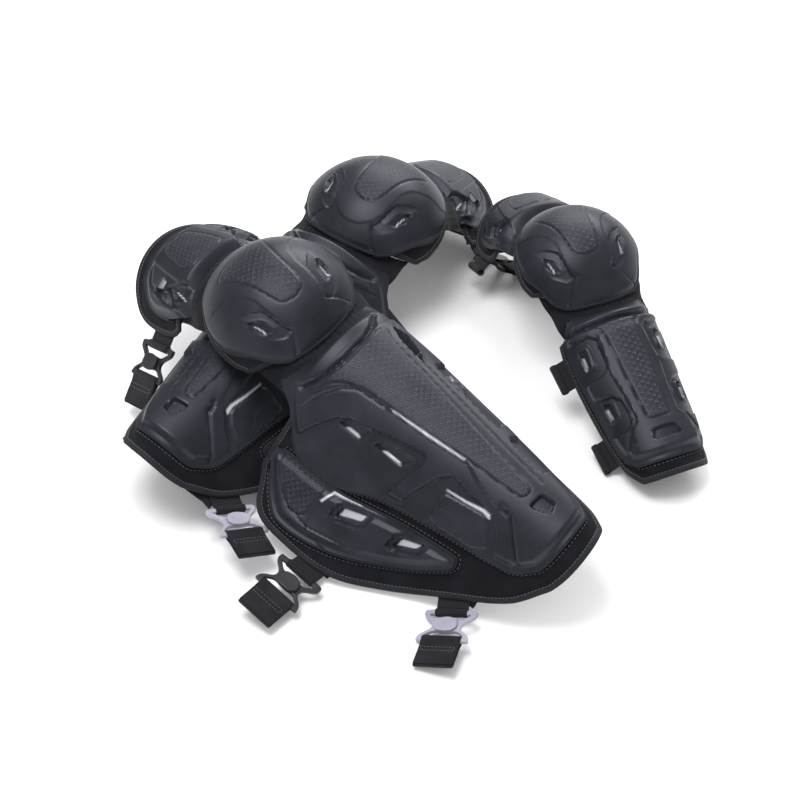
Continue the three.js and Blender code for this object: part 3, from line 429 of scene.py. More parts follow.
def threadFinish():
    finish = Finish("thread", Sheen_Weight=0.2)
    twist = finish.noise(2400, 2)
    finish.set("Base Color", finish.mix((0.045, 0.047, 0.058), (0.11, 0.113, 0.13), twist))
    finish.set("Roughness", 0.5 + (twist * 0.2))
    finish.bump(twist, 0.5, 0.0002)
    return finish.material


makers = {"cloth": clothFinish, "band": bandFinish, "tape": tapeFinish, "webbing": webbingFinish, "tab": tabFinish,
          "foam": foamFinish}
finishes = {"shell": shellFinish(), "thread": threadFinish()}
finishes.update({name: make(fabrics[name]) for name, make in makers.items()})
finishes.update({name: plasticFinish(*values) for name, values in hookPlastics.items()})
print("finishes ready")


# Meshes. A loop is a closed line on the flat pattern: rows of (along, across) in mm.
def unit(vectors, least=1e-9):
    return vectors / (np.linalg.norm(vectors, axis=-1, keepdims=True) + least)


def runLength(line):
    # how far each point lies along the line
    return np.concatenate([[0], np.cumsum(np.linalg.norm(np.diff(line, axis=0), axis=1))])


def rounded(loop, rounds=2, share=0.25):
    loop = np.array(loop, float)
    for _ in range(rounds):
        after = np.roll(loop, -1, axis=0)
        loop = np.stack([lerp(loop, after, share), lerp(loop, after, 1 - share)], 1).reshape(-1, 2)
    return loop


def spread(loop, step, closed=True):
    # the same line with its points at even steps
    line = np.vstack([loop, loop[:1]]) if closed else np.array(loop, float)
    lengths = runLength(line)
    count = max(int(round(lengths[-1] / step)), 3)
    at = np.linspace(0, lengths[-1], count + 1)[: count if closed else None]
    return np.stack([np.interp(at, lengths, line[:, k]) for k in range(line.shape[1])], -1)


def tableLoop(table, start, end, reach, bulge=0, sides=(1, -1), crown=0):
    # the closed outline that a table of shares gives; crown rounds its first edge
    share = np.linspace(0, 1, 90)
    outer = sides[0] * fromTable(table, share, 1) * reach
    inner = sides[1] * fromTable(table, share, 2) * reach
    along = start + (end - start) * share
    cap = np.linspace(0, 1, 24)[1:-1]
    arch = 1 - (2 * cap - 1) ** 2
    last = np.stack([end + bulge * arch, lerp(outer[-1], inner[-1], cap)], -1)
    first = np.stack([start - crown * arch, lerp(inner[0], outer[0], cap)], -1)
    loop = np.vstack([np.stack([along, outer], -1), last, np.stack([along, inner], -1)[::-1], first])
    return spread(rounded(loop, 2), 2.2)


def offset(loop, distance):
    # moves a loop outwards along its own normals
    way = unit(np.roll(loop, -2, axis=0) - np.roll(loop, 2, axis=0))
    normal = np.stack([way[:, 1], -way[:, 0]], -1)
    area = np.sum(loop[:, 0] * np.roll(loop[:, 1], -1) - np.roll(loop[:, 0], -1) * loop[:, 1])
    return loop + normal * distance * (1 if area > 0 else -1)


def toLoop(points, loop, closed=True):
    # distance to a line, positive inside a closed one, and the nearest place on it
    best, near = np.full(len(points), 1e9), np.zeros((len(points), 2))
    inside = np.zeros(len(points), bool)
    ends = np.roll(loop, -1, axis=0) if closed else loop[1:]
    for p, q in zip(loop, ends):
        edge = q - p
        share = np.clip(((points - p) @ edge) / max(edge @ edge, 1e-9), 0, 1)
        foot = p + share[:, None] * edge
        distance = np.linalg.norm(points - foot, axis=1)
        closer = distance < best
        best[closer], near[closer] = distance[closer], foot[closer]
        if closed and p[1] != q[1]:
            crossing = (p[1] > points[:, 1]) != (q[1] > points[:, 1])
            inside ^= crossing & (points[:, 0] < edge[0] * (points[:, 1] - p[1]) / edge[1] + p[0])
    return np.where(inside, best, -best) if closed else best, near


def gridCells(rows, columns):
    index = np.arange(rows * columns).reshape(rows, columns)
    return np.stack([index[:-1, :-1], index[1:, :-1], index[1:, 1:], index[:-1, 1:]], -1).reshape(-1, 4)


def usedOnly(faces, count):
    # the points that the faces use, the faces numbered for them, and the new number of each old point
    used = np.unique(np.concatenate([np.array(face) for face in faces]))
    renumber = np.full(count, -1)
    renumber[used] = np.arange(len(used))
    return used, [tuple(renumber[list(face)]) for face in faces], renumber


def cutSheet(outline, holes, step):
    # a grid of points inside the outline and outside the holes, its border points moved onto their lines
    low, high = outline.min(0) - 2 * step, outline.max(0) + 2 * step
    rows, columns = (np.ceil((high - low) / step).astype(int) + 1)
    grid = np.stack(np.meshgrid(low[0] + np.arange(rows) * step, low[1] + np.arange(columns) * step,
                                indexing="ij"), -1).reshape(-1, 2)
    depth, near = toLoop(grid, outline)
    for hole in holes:
        beyond, nearHole = toLoop(grid, hole)
        closer = -beyond < depth
        depth = np.where(closer, -beyond, depth)
        near[closer] = nearHole[closer]
    border = np.abs(depth) < step / 2
    grid[border] = near[border]
    kept = (depth >= 0) | border
    cells = gridCells(rows, columns)
    inside = kept[cells]
    faces = [tuple(cell) for cell in cells[inside.all(1)]]
    for cell, keep in zip(cells[inside.sum(1) == 3], inside[inside.sum(1) == 3]):
        faces.append(tuple(cell[keep]))
    used, faces, _ = usedOnly(faces, len(grid))
    return grid[used], faces


def addPiece(name, made, finish, body, matrix, sharp=35, node=None):
    # one visible piece: its mesh, the solid that it stands for and the body that it rides on
    points, faces, values = made  # values are kept at the points for the finishes
    values = values if isinstance(values, dict) else {"pattern": values}
    if matrix is not None:
        full = np.array(matrix)
        points = points @ full[:3, :3].T + full[:3, 3]
        if np.linalg.det(full[:3, :3]) < 0:
            faces = [tuple(face)[::-1] for face in faces]
    mesh = bpy.data.meshes.new(name)
    mesh.from_pydata([tuple(point) for point in points], [], [tuple(int(k) for k in face) for face in faces])
    for key, data in values.items():
        data = np.asarray(data, np.float32)
        kind, field = ("FLOAT_VECTOR", "vector") if data.ndim == 2 else ("FLOAT", "value")
        mesh.attributes.new(key, kind, "POINT").data.foreach_set(field, data.ravel())
    mesh.polygons.foreach_set("use_smooth", np.ones(len(mesh.polygons), bool))
    mesh.set_sharp_from_angle(angle=sharp * degree)
    mesh.materials.append(finishes[finish])
    mesh.update()
    piece = bpy.data.objects.new(name, mesh)
    bpy.context.scene.collection.objects.link(piece)
    if node:
        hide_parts(node)
    if body:
        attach(piece, body)
    return piece


def twoSided(flat):
    # the flat pattern for both skins of a sheet
    return np.tile(np.column_stack([flat, np.zeros(len(flat))]), (2, 1))


def sheetBetween(flat, faces, surface, top, bottom):
    return (*thicken(flat, faces, surface(flat, top), surface(flat, bottom)), twoSided(flat))


def thicken(flat, faces, top, bottom):
    # two skins of the same cut sheet, joined round every border; faces point out of the solid
    count = len(flat)
    seen = {}
    for face in faces:
        for a, b in zip(face, (*face[1:], face[0])):
            seen[(a, b)] = seen.get((a, b), 0) + 1
    solid = [tuple(face) for face in faces] + [tuple(k + count for k in face[::-1]) for face in faces]
    solid += [(b, a, a + count, b + count) for a, b in seen if (b, a) not in seen]
    points = np.vstack([top, bottom])
    face = faces[len(faces) // 2]
    normal = np.cross(top[face[1]] - top[face[0]], top[face[2]] - top[face[0]])
    if normal @ (top[face[0]] - bottom[face[0]]) < 0:
        solid = [f[::-1] for f in solid]
    return points, solid



def ringFaces(count, sides, closed=False, start=0):
    # faces between rings of points; an open run gets its two ends
    around = [(k, (k + 1) % sides) for k in range(sides)]
    faces = [(i * sides + k, i * sides + m, (i + 1) % count * sides + m, (i + 1) % count * sides + k)
             for i in range(count if closed else count - 1) for k, m in around]
    if not closed:
        faces += [tuple(range(sides))[::-1], tuple((count - 1) * sides + k for k in range(sides))]
    return [tuple(k + start for k in face) for face in faces]


def tube(centres, normals, across, high, sides=10, closed=True, flatten=1.0):
    # a bead along a line: half widths across the surface and above it
    ahead = np.roll(centres, -1, axis=0) if closed else np.vstack([centres[1:], 2 * centres[-1] - centres[-2]])
    behind = np.roll(centres, 1, axis=0) if closed else np.vstack([2 * centres[0] - centres[1], centres[:-1]])
    way = unit(ahead - behind)
    side = unit(np.cross(way, normals))
    up = np.cross(side, way)
    turn = np.arange(sides) / sides * 2 * math.pi
    shape = np.stack([np.sign(np.cos(turn)) * np.abs(np.cos(turn)) ** flatten, np.sin(turn)], -1)
    points = (centres[:, None] + shape[None, :, :1] * across * side[:, None]
              + shape[None, :, 1:] * high * up[:, None]).reshape(-1, 3)
    count = len(centres)
    pattern = np.stack([np.repeat(runLength(centres), sides), np.tile(np.arange(sides), count) * 1.0,
                        np.zeros(count * sides)], -1)
    return points, ringFaces(count, sides, closed), pattern


def tubeOn(surface, line, rise, across, high, **shape):
    # the same along a loop of the pattern, at a height above the surface
    centres = surface(line, rise)
    return tube(centres, surface(line, rise + 1) - centres, across, high, **shape)


def stitchRow(line, surface, pitch=4.2, length=2.7, radius=0.42, rise=0.25):
    # a row of short threads lying along a line on a surface
    flat = spread(line, pitch)
    ahead = unit(np.roll(flat, -1, axis=0) - flat)
    here = surface(flat, rise)
    way = unit(surface(flat + ahead * 0.5, rise) - here)
    up = surface(flat, rise + 1) - here
    up = unit(up - way * np.sum(up * way, axis=1)[:, None])
    side = np.cross(way, up)
    rings = [(-1, 0.25), (-0.7, 0.85), (0, 1), (0.7, 0.85), (1, 0.25)]
    turns = np.arange(6) / 6 * 2 * math.pi
    points, faces = [], []
    for i in range(len(flat)):
        faces += ringFaces(len(rings), len(turns), start=len(points))
        for place, size in rings:
            for turn in turns:
                points.append(here[i] + way[i] * place * length / 2
                              + (side[i] * math.cos(turn) + up[i] * math.sin(turn)) * radius * size)
    return np.array(points), faces, np.zeros((len(points), 3))


def mirrored(half, middle=0):
    # a line that is the same on both sides of its middle
    rows = half + [(a, 2 * middle - b) for a, b in half[::-1]]
    return [row for k, row in enumerate(rows) if row != rows[k - 1]]


def bothSides(rows, middle=0):
    # loops, or loops with their sizes, and the same again on the other side
    other = lambda loop: [(a, 2 * middle - b) for a, b in loop]
    return rows + [(other(row[0]), *row[1:]) if isinstance(row, tuple) else other(row) for row in rows]


print("mesh tools ready")

# Moulded shells. Features lie on the flat pattern, (along, across) in mm, + across on the outer side of the limb.
shinLook = {
    "spine": [(76, 84), (85, 71), (96, 48), (108, 33), (122, 24), (152, 21), (197, 18), (243, 13), (262, 20),
              (289, 26), (300, 20), (312, 30), (331, 52), (356, 48), (356, -50), (300, -64), (200, -80), (76, -80)],
    "spineRise": 1.7, "spineWidth": 3.2,
    "strip": [(89, 49), (97, 35), (109, 27), (126, 21), (155, 19), (200, 16), (243, 11), (300, 8), (304, 3),
              (301, -4), (273, -6), (202, -17), (160, -24), (134, -27), (112, -30), (97, -38), (92, -30), (97, -12),
              (98, 12), (94, 30)],
    "recesses": [
        ([(96, 92), (113, 65), (120, 55), (140, 45), (194, 32), (210, 30), (212, 36), (205, 55), (198, 80),
          (190, 120), (100, 120)], 3.2, 3.4),
        ([(212, 84), (215, 70), (229, 38), (238, 29), (262, 31), (288, 31), (300, 42), (314, 66), (300, 100),
          (216, 100)], 3.1, 3.4),
        ([(311, 9), (311, -5), (325, -7), (330, 3)], 4.2, 2.2),
        ([(152, -40), (200, -34), (240, -29), (238, -44), (196, -58), (158, -60)], 4.0, 3),
        ([(250, -28), (296, -19), (300, -34), (262, -46)], 4.0, 3),
    ],
    "panels": [([(240, 46), (262, 42), (284, 38), (294, 48), (300, 62), (288, 70), (243, 76)], 1.9, 3.4),
               ([(240, 74), (246, 58), (266, 56), (280, 66), (272, 74)], 0.5, 1.0)],
    "grooves": [([(85, 71), (96, 48), (108, 33), (122, 24), (152, 21)], 1.5, 1.2),
                ([(291, 22), (303, 24), (314, 34), (332, 54)], 2.4, 2.0),
                ([(96, -50), (112, -38), (150, -33), (204, -25), (262, -17), (304, -13)], 0.9, 0.9)],
    "windows": [[(124, 58), (131, 48), (154, 45), (148, 58)], [(163, 53), (171, 44), (202, 41), (194, 52)],
                [(98, -44), (116, -37), (142, -33), (138, -38), (112, -48)],
                [(166, -48), (188, -44), (186, -52), (168, -55)]],
    # painted highlight strokes along the bright ridge edges
    "highlightStrokes": [[(242, 42.5), (262, 40), (280, 36.5), (289, 38), (287, 34), (280, 33.5), (262, 38), (242, 41.3)],
               [(160, 20), (200, 17.6), (240, 13.4), (240, 12.2), (200, 15.6), (160, 19.2)]],
    "collar": [(77, 54), (84, 44), (89, 33), (93, 12), (92, -12), (87, -28), (77, -42)],
}
wingLook = {
    # window floors painted pale, as a painted highlight
    "paintedBrightWindows": True,
    "strip": [(94, 108), (95, 120), (102, 135), (123, 153), (138, 155), (145, 149), (143, 134), (148, 117),
              (142, 109), (120, 106), (102, 105)],
    "panels": [([(150, 160), (152, 128), (157, 115), (193, 104), (233, 92), (262, 83), (290, 84), (280, 110),
                 (240, 140), (190, 165)], 1.5, 3)],
    "recesses": [([(162, 137), (165, 116), (201, 103), (197, 124)], 3.6, 2.4),
                 ([(222, 123), (226, 101), (260, 91), (253, 109)], 3.6, 2.4)],
    "windows": [[(168, 131), (170, 119), (195, 109), (192, 120)], [(228, 117), (231, 105), (253, 96), (248, 106)]],
    "grooves": [([(128, 154), (152, 158), (200, 146)], 0.8, 1)],
    # a painted highlight stroke along the wing's ridge
    "highlightStrokes": [[(151, 128), (156, 115), (185, 106), (185, 104), (155, 112), (149, 127)]],
}
thighLook = {
    "spine": mirrored([(20, 40), (76, 36), (118, 30), (150, 24)]), "spineRise": 1.3, "spineWidth": 3,
    "strip": mirrored([(80, 22), (100, 21), (134, 15), (136, 0)]),
    "recesses": bothSides([([(104, 44), (86, 34), (70, 30), (70, 54), (88, 58)], 3.2, 3)]),
    "windows": bothSides([[(97, 42), (84, 37), (74, 36), (75, 48), (86, 51)],
                          [(118, 50), (108, 54), (104, 40), (112, 36)]]),
    "grooves": [(mirrored([(72, 62), (100, 55), (128, 45), (140, 25), (141, 0)]), 0.9, 1.1)],
}
cupLook = {
    "spine": mirrored([(-95, 60), (-62, 68), (-39, 64), (-24, 47), (-7, 35), (8, 30), (22, 29.5), (38, 29), (50, 23),
                       (57, 13), (59, 3)], 3),
    "spineRise": 2.6, "spineWidth": 1.4,
    "strip": mirrored([(-48, 34), (-26, 27), (-6, 22), (16, 19), (30, 16), (34, 3)], 3),
    "undercuts": bothSides([[(-8, 84), (-4, 70), (1, 57), (9, 43), (20, 33), (33, 31), (46, 29), (54, 25), (57, 33),
                             (48, 47), (30, 62), (6, 82)]], 3),
    "undercutDepth": 3.3, "undercutFade": 20,
    "windows": bothSides([[(17, 50), (28, 40), (43, 35), (41, 45), (28, 51)]], 3),
    "grooves": [([(53, 25), (66, 31), (82, 38), (96, 44)], 1.5, 1.3),
                ([(51, -19), (61, -30), (80, -44), (92, -52)], 1.5, 1.3)],
}
forearmLook = {
    "spine": mirrored([(60, 60), (84, 19), (130, 23), (150, 20), (183, 18), (190, 26), (228, 30)]),
    "spineRise": 1.3, "spineWidth": 2.6,
    "strip": mirrored([(80, 26), (84, 14), (130, 13), (184, 10), (186, 8)]),
    "recesses": bothSides([([(82, 70), (86, 22), (128, 24), (126, 70)], 3.2, 2.8),
                           ([(134, 70), (152, 24), (182, 23), (188, 34), (180, 70)], 3.2, 2.8)])
                + [([(196, 10), (196, -10), (207, -12), (207, 12)], 4.2, 2)],
    "panels": bothSides([([(92, 44), (92, 32), (116, 33), (116, 45)], 1.6, 2),
                         ([(148, 44), (152, 32), (172, 32), (174, 42)], 1.6, 2)]),
    "windows": bothSides([[(94, 42), (94, 36), (114, 37), (114, 43)], [(152, 41), (154, 35), (170, 35), (170, 40)]]),
    "grooves": bothSides([([(188, 27), (198, 33), (212, 40)], 1.6, 1.6)]),
    "collar": mirrored([(74, 50), (77, 25), (78, 0)]),
}
upperArmLook = {
    "spine": mirrored([(20, 34), (76, 30), (104, 26), (132, 20)]), "spineRise": 1.3, "spineWidth": 2.6,
    "strip": mirrored([(80, 18), (98, 17), (118, 12)]),
    "recesses": bothSides([([(96, 40), (82, 30), (72, 28), (72, 48), (86, 52)], 3.2, 2.8)]),
    "windows": bothSides([[(91, 39), (82, 34), (76, 33), (77, 44), (85, 46)]]),
    "grooves": [(mirrored([(70, 54), (96, 48), (114, 38), (122, 20), (123, 0)]), 0.9, 1.1)],
}
looks = {"thigh": thighLook, "shin": shinLook, "upper": upperArmLook, "forearm": forearmLook}


def scaled(look, factor):
    # the same features on a smaller guard
    resize = lambda loop: [(a * factor, b * factor) for a, b in loop]
    small = {**look, "spine": resize(look["spine"]), "strip": resize(look["strip"])}
    for key in ("windows", "undercuts"):
        small[key] = [resize(loop) for loop in look[key]]
    small["grooves"] = [(resize(line), *rest) for line, *rest in look["grooves"]]
    return small


# How the features are cut, in mm: corner is the share of an edge that rounding takes, bevel that of a width
carving = {"corner": 0.14, "bevel": 0.62, "collarFrom": 84, "collarOver": 8, "collarDepth": 4.0, "collarWidth": 2.4,
           "stripRise": 0.7, "seamDepth": 0.9, "seamWidth": 0.9, "windowCorner": 0.07, "windowFloor": 1.5,
           "windowTilt": 0.16, "windowLip": 0.5}


def relief(flat, base, look):
    # height at each point of the pattern, and where the texture, the ridges with wear and painted sheen, and the
    # painted highlights are
    c = carving
    height = base.copy()
    textured, paintedHighlight = np.zeros(len(flat)), np.zeros(len(flat))
    depthIn = lambda loop, rounds, share: toLoop(flat, rounded(loop, rounds, share))[0]
    inside = lambda loop, width, rounds=1: smooth(depthIn(loop, rounds, c["corner"]) / (width * c["bevel"]) + 0.5)
    ridge = lambda line, width: np.exp(-(toLoop(flat, spread(line, 2, False), False)[0] / width) ** 2)
    if "spine" in look:
        height += look["spineRise"] * inside(look["spine"], look["spineWidth"], 2) * smooth((base - 3) / 3)
    for loop in look.get("undercuts", []):
        near = 1 - toLoop(flat, rounded(look["spine"], 2), False)[0] / look["undercutFade"]
        height -= look["undercutDepth"] * inside(loop, 2.2) * np.clip(near, 0, 1) ** 0.8
    for loop, floor, width in look.get("recesses", []):
        height = np.minimum(height, lerp(height, floor, inside(loop, width)))
    for loop, rise, width in look.get("panels", []):
        height += rise * inside(loop, width)
    for line, depth, width in look.get("grooves", []):
        height -= depth * ridge(line, width)
    if "collar" in look:
        over = smooth((flat[:, 0] - c["collarFrom"]) / c["collarOver"])
        height = np.minimum(height, lerp(base, height, over))  # clear of the cup as it turns
        height -= c["collarDepth"] * ridge(look["collar"], c["collarWidth"])
    if "strip" in look:
        depth = depthIn(look["strip"], 2, 0.2)
        height += c["stripRise"] * smooth(depth / 1.6 + 0.5) - c["seamDepth"] * np.exp(-(depth / c["seamWidth"]) ** 2)
        textured = smooth((depth - 1.2) / 1.5)
    for loop in look.get("windows", []):
        loop = np.array(loop, float)
        depth = depthIn(loop, 1, c["windowCorner"])
        middle = loop.mean(0)
        tilt = (flat[:, 1] - middle[1]) * np.sign(middle[1]) * c["windowTilt"]
        floor = np.clip(c["windowFloor"] - tilt, 0.7, 3.2)
        height = lerp(height, floor, smooth(depth / 1.5 + 0.6)) + c["windowLip"] * np.exp(-(depth + 1.6) ** 2)
        # the whole window floor painted pale as a painted highlight
        if look.get("paintedBrightWindows"):
            paintedHighlight = np.maximum(paintedHighlight, smooth((depth - 0.9) / 0.9))
        else:
            # a painted highlight on the bevel of the window's outer edge
            a, b = lerp(loop[0], loop[3], 0.3), loop[3]
            bevel = np.array([lerp(p, middle, share) for p, share in ((a, -0.05), (b, -0.05), (b, 0.36), (a, 0.3))])
            paintedHighlight = np.maximum(paintedHighlight, smooth(toLoop(flat, bevel)[0] / 1.1 + 0.5))
    # painted highlight strokes along ridge lines
    for loop in look.get("highlightStrokes", []):
        paintedHighlight = np.maximum(paintedHighlight, smooth(toLoop(flat, np.array(loop, float))[0] / 1.6 + 0.5))
    return height, textured, paintedHighlight


# The piping that a shell is sewn down with and the thread beside it: sizes, height and place off the outline in mm;
# from is where they start along the limb, clear of the cup
limbBead = {"radius": 1.7, "rise": 2.2, "out": 0.4, "stitchOut": 3.4, "stitchRise": -0.1, "from": 91}
cupBead = {"radius": 1.4, "rise": 2.2, "out": -1.8, "stitchOut": -4.6, "stitchRise": 2.75, "from": -unlimited}


def shellPiece(name, node, body, look, outline, surface, base, matrix, bead, wall=layers["shellWall"]):
    # a moulded shell with its relief, hollow behind, and the sewn bead with its stitches round it
    flat, faces = cutSheet(outline, [], 1.25)
    height, textured, paintedHighlight = relief(flat, base(flat, toLoop(flat, outline)[0]), look)
    under = np.minimum(np.maximum(height - wall, layers["seatGap"]), height - 0.4)
    points, solid = thicken(flat, faces, surface(flat, height), surface(flat, under))
    # ridges are where the face stands above the mean of its neighbours; they are lightened as wear and as painted
    # sheen
    edges = np.array([(a, b) for face in faces for a, b in zip(face, (*face[1:], face[0]))])
    total, count = np.zeros(len(flat)), np.zeros(len(flat))
    np.add.at(total, edges[:, 0], height[edges[:, 1]])
    np.add.at(count, edges[:, 0], 1)
    edgeWearAndSheen = smooth((height - total / np.maximum(count, 1)) / 0.28)
    values = {"pattern": twoSided(flat)}
    for key, front in (("textured", textured), ("edgeWearAndSheen", edgeWearAndSheen), ("paintedHighlight", paintedHighlight)):
        values[key] = np.concatenate([front, front * 0])
    addPiece(name, (points, solid, values), "shell", body, matrix, node=node)
    beadPieces(name, body, outline, surface, matrix, bead)


def beadPieces(name, body, outline, surface, matrix, spec):
    line = spread(offset(outline, spec["out"]), 2.2)
    sides, count, kept = 10, len(line), line[:, 0] > spec["from"]
    points, faces, pattern = tubeOn(surface, line, spec["rise"], spec["radius"], spec["radius"] * 0.9, sides=sides)
    faces = [f for i, f in enumerate(faces) if kept[i // sides] and kept[(i // sides + 1) % count]]
    used, faces, renumber = usedOnly(faces, len(points))
    for i in range(count):
        if kept[i] and not (kept[i - 1] and kept[(i + 1) % count]):
            # close the bead where it is cut off
            ring = [int(renumber[i * sides + k]) for k in range(sides)]
            if min(ring) >= 0:
                faces.append(tuple(ring[::-1]) if kept[(i + 1) % count] else tuple(ring))
    addPiece(name + "_bead", (points[used], faces, pattern[used]), "tape", body, matrix)
    seam = offset(outline, spec["stitchOut"])
    thread = stitchRow(seam[seam[:, 0] > spec["from"]], surface, rise=spec["stitchRise"])
    addPiece(name + "_stitches", thread, "thread", body, matrix)


def plateFace(edge):
    # rim, bevel and raised face by the distance from the edge
    return lerp(layers["rimHeight"], layers["plateHeight"], smooth((edge - layers["rimWidth"]) / layers["bevelWidth"]))


def limbBase(guard, section):
    # a limb shell is thinner where it slides inside the cup
    lip = collarRadius(guard) * layers["collarShare"]
    over = lambda flat: smooth((flat[:, 0] - lip) / (section["shoulder"] - lip))
    return lambda flat, edge: lerp(layers["shellWall"], plateFace(edge), over(flat))


def ballSurface(radius):
    return lambda flat, out: ballPlace(radius, flat[:, 0], flat[:, 1], out)


def limbSurface(guard, section):
    return lambda flat, out: limbPlace(guard, section, flat[:, 0], flat[:, 1], out)


# Bound and sewn edges of the cloth: tape is its half width and half height, stitch its pitch, length, radius and rise
edging = {
    "cloth": {"tapeOut": -2.4, "tapeRise": -1.5, "tape": (3.1, 1.75), "stitchOut": -4.6,
              "stitch": (3.6, 2.3, 0.36, -0.15)},
    "band": {"tapeOut": -2.2, "tapeRise": 1.1, "tape": (2.7, 1.6), "stitchOut": -5.6, "stitch": (3.6, 2.4, 0.36, 1.9)},
}


def edgePieces(name, body, outline, surface, matrix, spec):
    line = spread(offset(outline, spec["tapeOut"]), 3)
    tape = tubeOn(surface, line, spec["tapeRise"], *spec["tape"], sides=12, flatten=0.7)
    thread = stitchRow(offset(outline, spec["stitchOut"]), surface, *spec["stitch"])
    return [addPiece(name + "_binding", tape, "tape", body, matrix, 70),
            addPiece(name + "_stitches", thread, "thread", body, matrix)]


def trueArea(surface, outline):
    # area of a sheet over its surface, in square m
    flat, faces = cutSheet(outline, [], 6)
    points = surface(flat, 0)
    cut = np.array([(f[0], f[1], f[2]) for f in faces] + [(f[0], f[2], f[3]) for f in faces if len(f) == 4])
    a, b, c = (points[cut[:, k]] for k in range(3))
    return float(np.sum(np.linalg.norm(np.cross(b - a, c - a), axis=1) / 2)) * mm * mm


def sheetSize(surface, outline, *openings):
    # width and length of the flat sheet, and the area left of it
    length, width = (float(size) * mm for size in outline.max(0) - outline.min(0))
    area = trueArea(surface, outline) - sum(trueArea(surface, opening) for opening in openings)
    return (width, length), min(area, 0.999 * width * length)


# Cloth sheets in mm: a wave is its height, its radians per mm along and across, and its shift
carrierCloth = {"step": 2.6, "waves": ((0.28, 0.31, 0.13, 0), (0.2, -0.09, 0.37, 0), (0.15, 0.83, 0, 1.7)),
                "waveOnTop": 0.5, "waveBelow": 0.2, "pucker": 0.3, "puckerPitch": 1.1, "puckerAt": 7,
                "puckerWidth": 4, "topDrop": 0.35, "seamDepth": 0.5, "seamAt": 8.5, "seamWidth": 1.1}
bandCloth = {"step": 2.4, "waves": ((0.25, 0.4, 0.21, 0), (0.2, 0, 0.5, 0)), "waveOnTop": 0.4, "waveBelow": 0.1,
             "topDrop": 0.3, "lift": 0.1, "seamDepth": 0.45, "seamAt": 7.5, "seamWidth": 1.1}


def ripples(flat, edge, spec):
    # the cloth's waves, and the groove of its seam
    waves = sum(height * np.sin(flat[:, 0] * along + flat[:, 1] * across + shift)
                for height, along, across, shift in spec["waves"])
    return waves, spec["seamDepth"] * np.exp(-((edge - spec["seamAt"]) / spec["seamWidth"]) ** 2)


def clothPiece(name, node, body, guard, section, matrix):
    # sewn cloth backing: a soft sheet with small puckers, bound with tape round its edge
    start, end, reach, bulge = section["cloth"]
    outline = tableLoop(outlines[section["tables"]["cloth"]], start, end, reach, bulge)
    surface = limbSurface(guard, section)
    c = carrierCloth
    flat, faces = cutSheet(outline, [], c["step"])
    edge = toLoop(flat, outline)[0]
    wave, seam = ripples(flat, edge, c)
    besideSeam = np.exp(-((edge - c["puckerAt"]) / c["puckerWidth"]) ** 2)
    pucker = c["pucker"] * np.sin(flat.sum(1) * c["puckerPitch"]) * besideSeam
    top = -layers["seatGap"] - c["topDrop"] + wave * c["waveOnTop"] + pucker - seam
    bottom = -layers["seatGap"] - layers["fabric"] + wave * c["waveBelow"]
    made = sheetBetween(flat, faces, surface, top, bottom)
    piece = addPiece(name, made, "cloth", body, matrix, 60, node)
    bound = edgePieces(name, body, outline, surface, matrix, edging["cloth"])
    flatSize, area = sheetSize(surface, outline)


padding = {"step": 2.8, "channelPitch": 26, "channelFrom": 24, "channelTo": 12, "crownWidth": 24, "crownPower": 0.7,
           "edgeShare": 0.32, "channelWidth": 2.4, "roll": 1.6, "rollWidth": 2.2}


def padPiece(name, node, body, outline, surface, matrix, top, depth, channels):
    # a crowned foam pad, full in the middle, pressed in along its sewn channels
    c = padding
    flat, faces = cutSheet(outline, [], c["step"])
    edge = toLoop(flat, outline)[0]
    full = np.sin(np.clip(edge / c["crownWidth"], 0, 1) * math.pi / 2) ** c["crownPower"]
    low = depth * (c["edgeShare"] + (1 - c["edgeShare"]) * full)
    for line in channels:
        near = toLoop(flat, np.array(line, float), False)[0] / c["channelWidth"]
        low -= layers["channelDepth"] * np.exp(-near ** 2) * full
    roll = np.exp(-(edge / c["rollWidth"]) ** 2) * c["roll"]
    made = sheetBetween(flat, faces, surface, top - roll, top - low + roll)
    piece = addPiece(name, made, "foam", body, matrix, 70, node)


print("piece makers ready")


# Closures: webbing tab, hook frame and strap end, with the sizes of the solids in mm
closure = {"width": 31, "tuck": 12, "clear": 1.5, "lift": 30, "reach": 9, "bar": 1.9, "gap": 0.3, "wall": 1.9,
           "armWidth": 6, "hookLength": 32, "strapWidth": 38, "tabLength": 30, "sewn": 0.7, "gridStep": 24,
           "backWidth": 37.6, "backWall": 2, "backTuck": 9, "backSlack": 5, "backLap": 2.7, "waist": 10.5,
           "foldFrom": 9, "foldHalf": 1.35, "armPlate": 4.2, "shieldPlate": 2.2, "shieldLift": 2.1, "rounding": 0.9}


def sewnPlace(section, at):
    # how far the cloth reaches at a place along the limb, inner and outer, and the depth where a strap is sewn
    start, end, reach, bulge = section["cloth"]
    table = outlines[section["tables"]["cloth"]]
    outer, inner = (float(fromTable(table, (at - start) / (end - start), side)) * reach for side in (1, 2))
    return -inner, outer, -layers["seatGap"] - layers["fabric"] - closure["sewn"] - 1


def ribbon(path, width, thickness):
    # a flat woven band with rounded edges along a path; its width lies along y
    shape = [(-0.5, 0), (-0.485, 0.4), (-0.45, 0.5), (-0.2, 0.54), (0, 0.5), (0.2, 0.54), (0.45, 0.5), (0.485, 0.4),
             (0.5, 0), (0.485, -0.4), (0.45, -0.5), (0, -0.5), (-0.45, -0.5), (-0.485, -0.4)]
    side = np.array([0, 1.0, 0])
    normals = unit(np.cross(np.gradient(path, axis=0), np.tile(side, (len(path), 1))))
    points = np.concatenate([[p + side * x * width + normal * y * thickness for x, y in shape]
                             for p, normal in zip(path, normals)])
    count, sides = len(path), len(shape)
    pattern = np.column_stack([np.tile([x * width for x, _ in shape], count), np.repeat(runLength(path), sides),
                               np.zeros(count * sides)])
    return points, ringFaces(count, sides), pattern


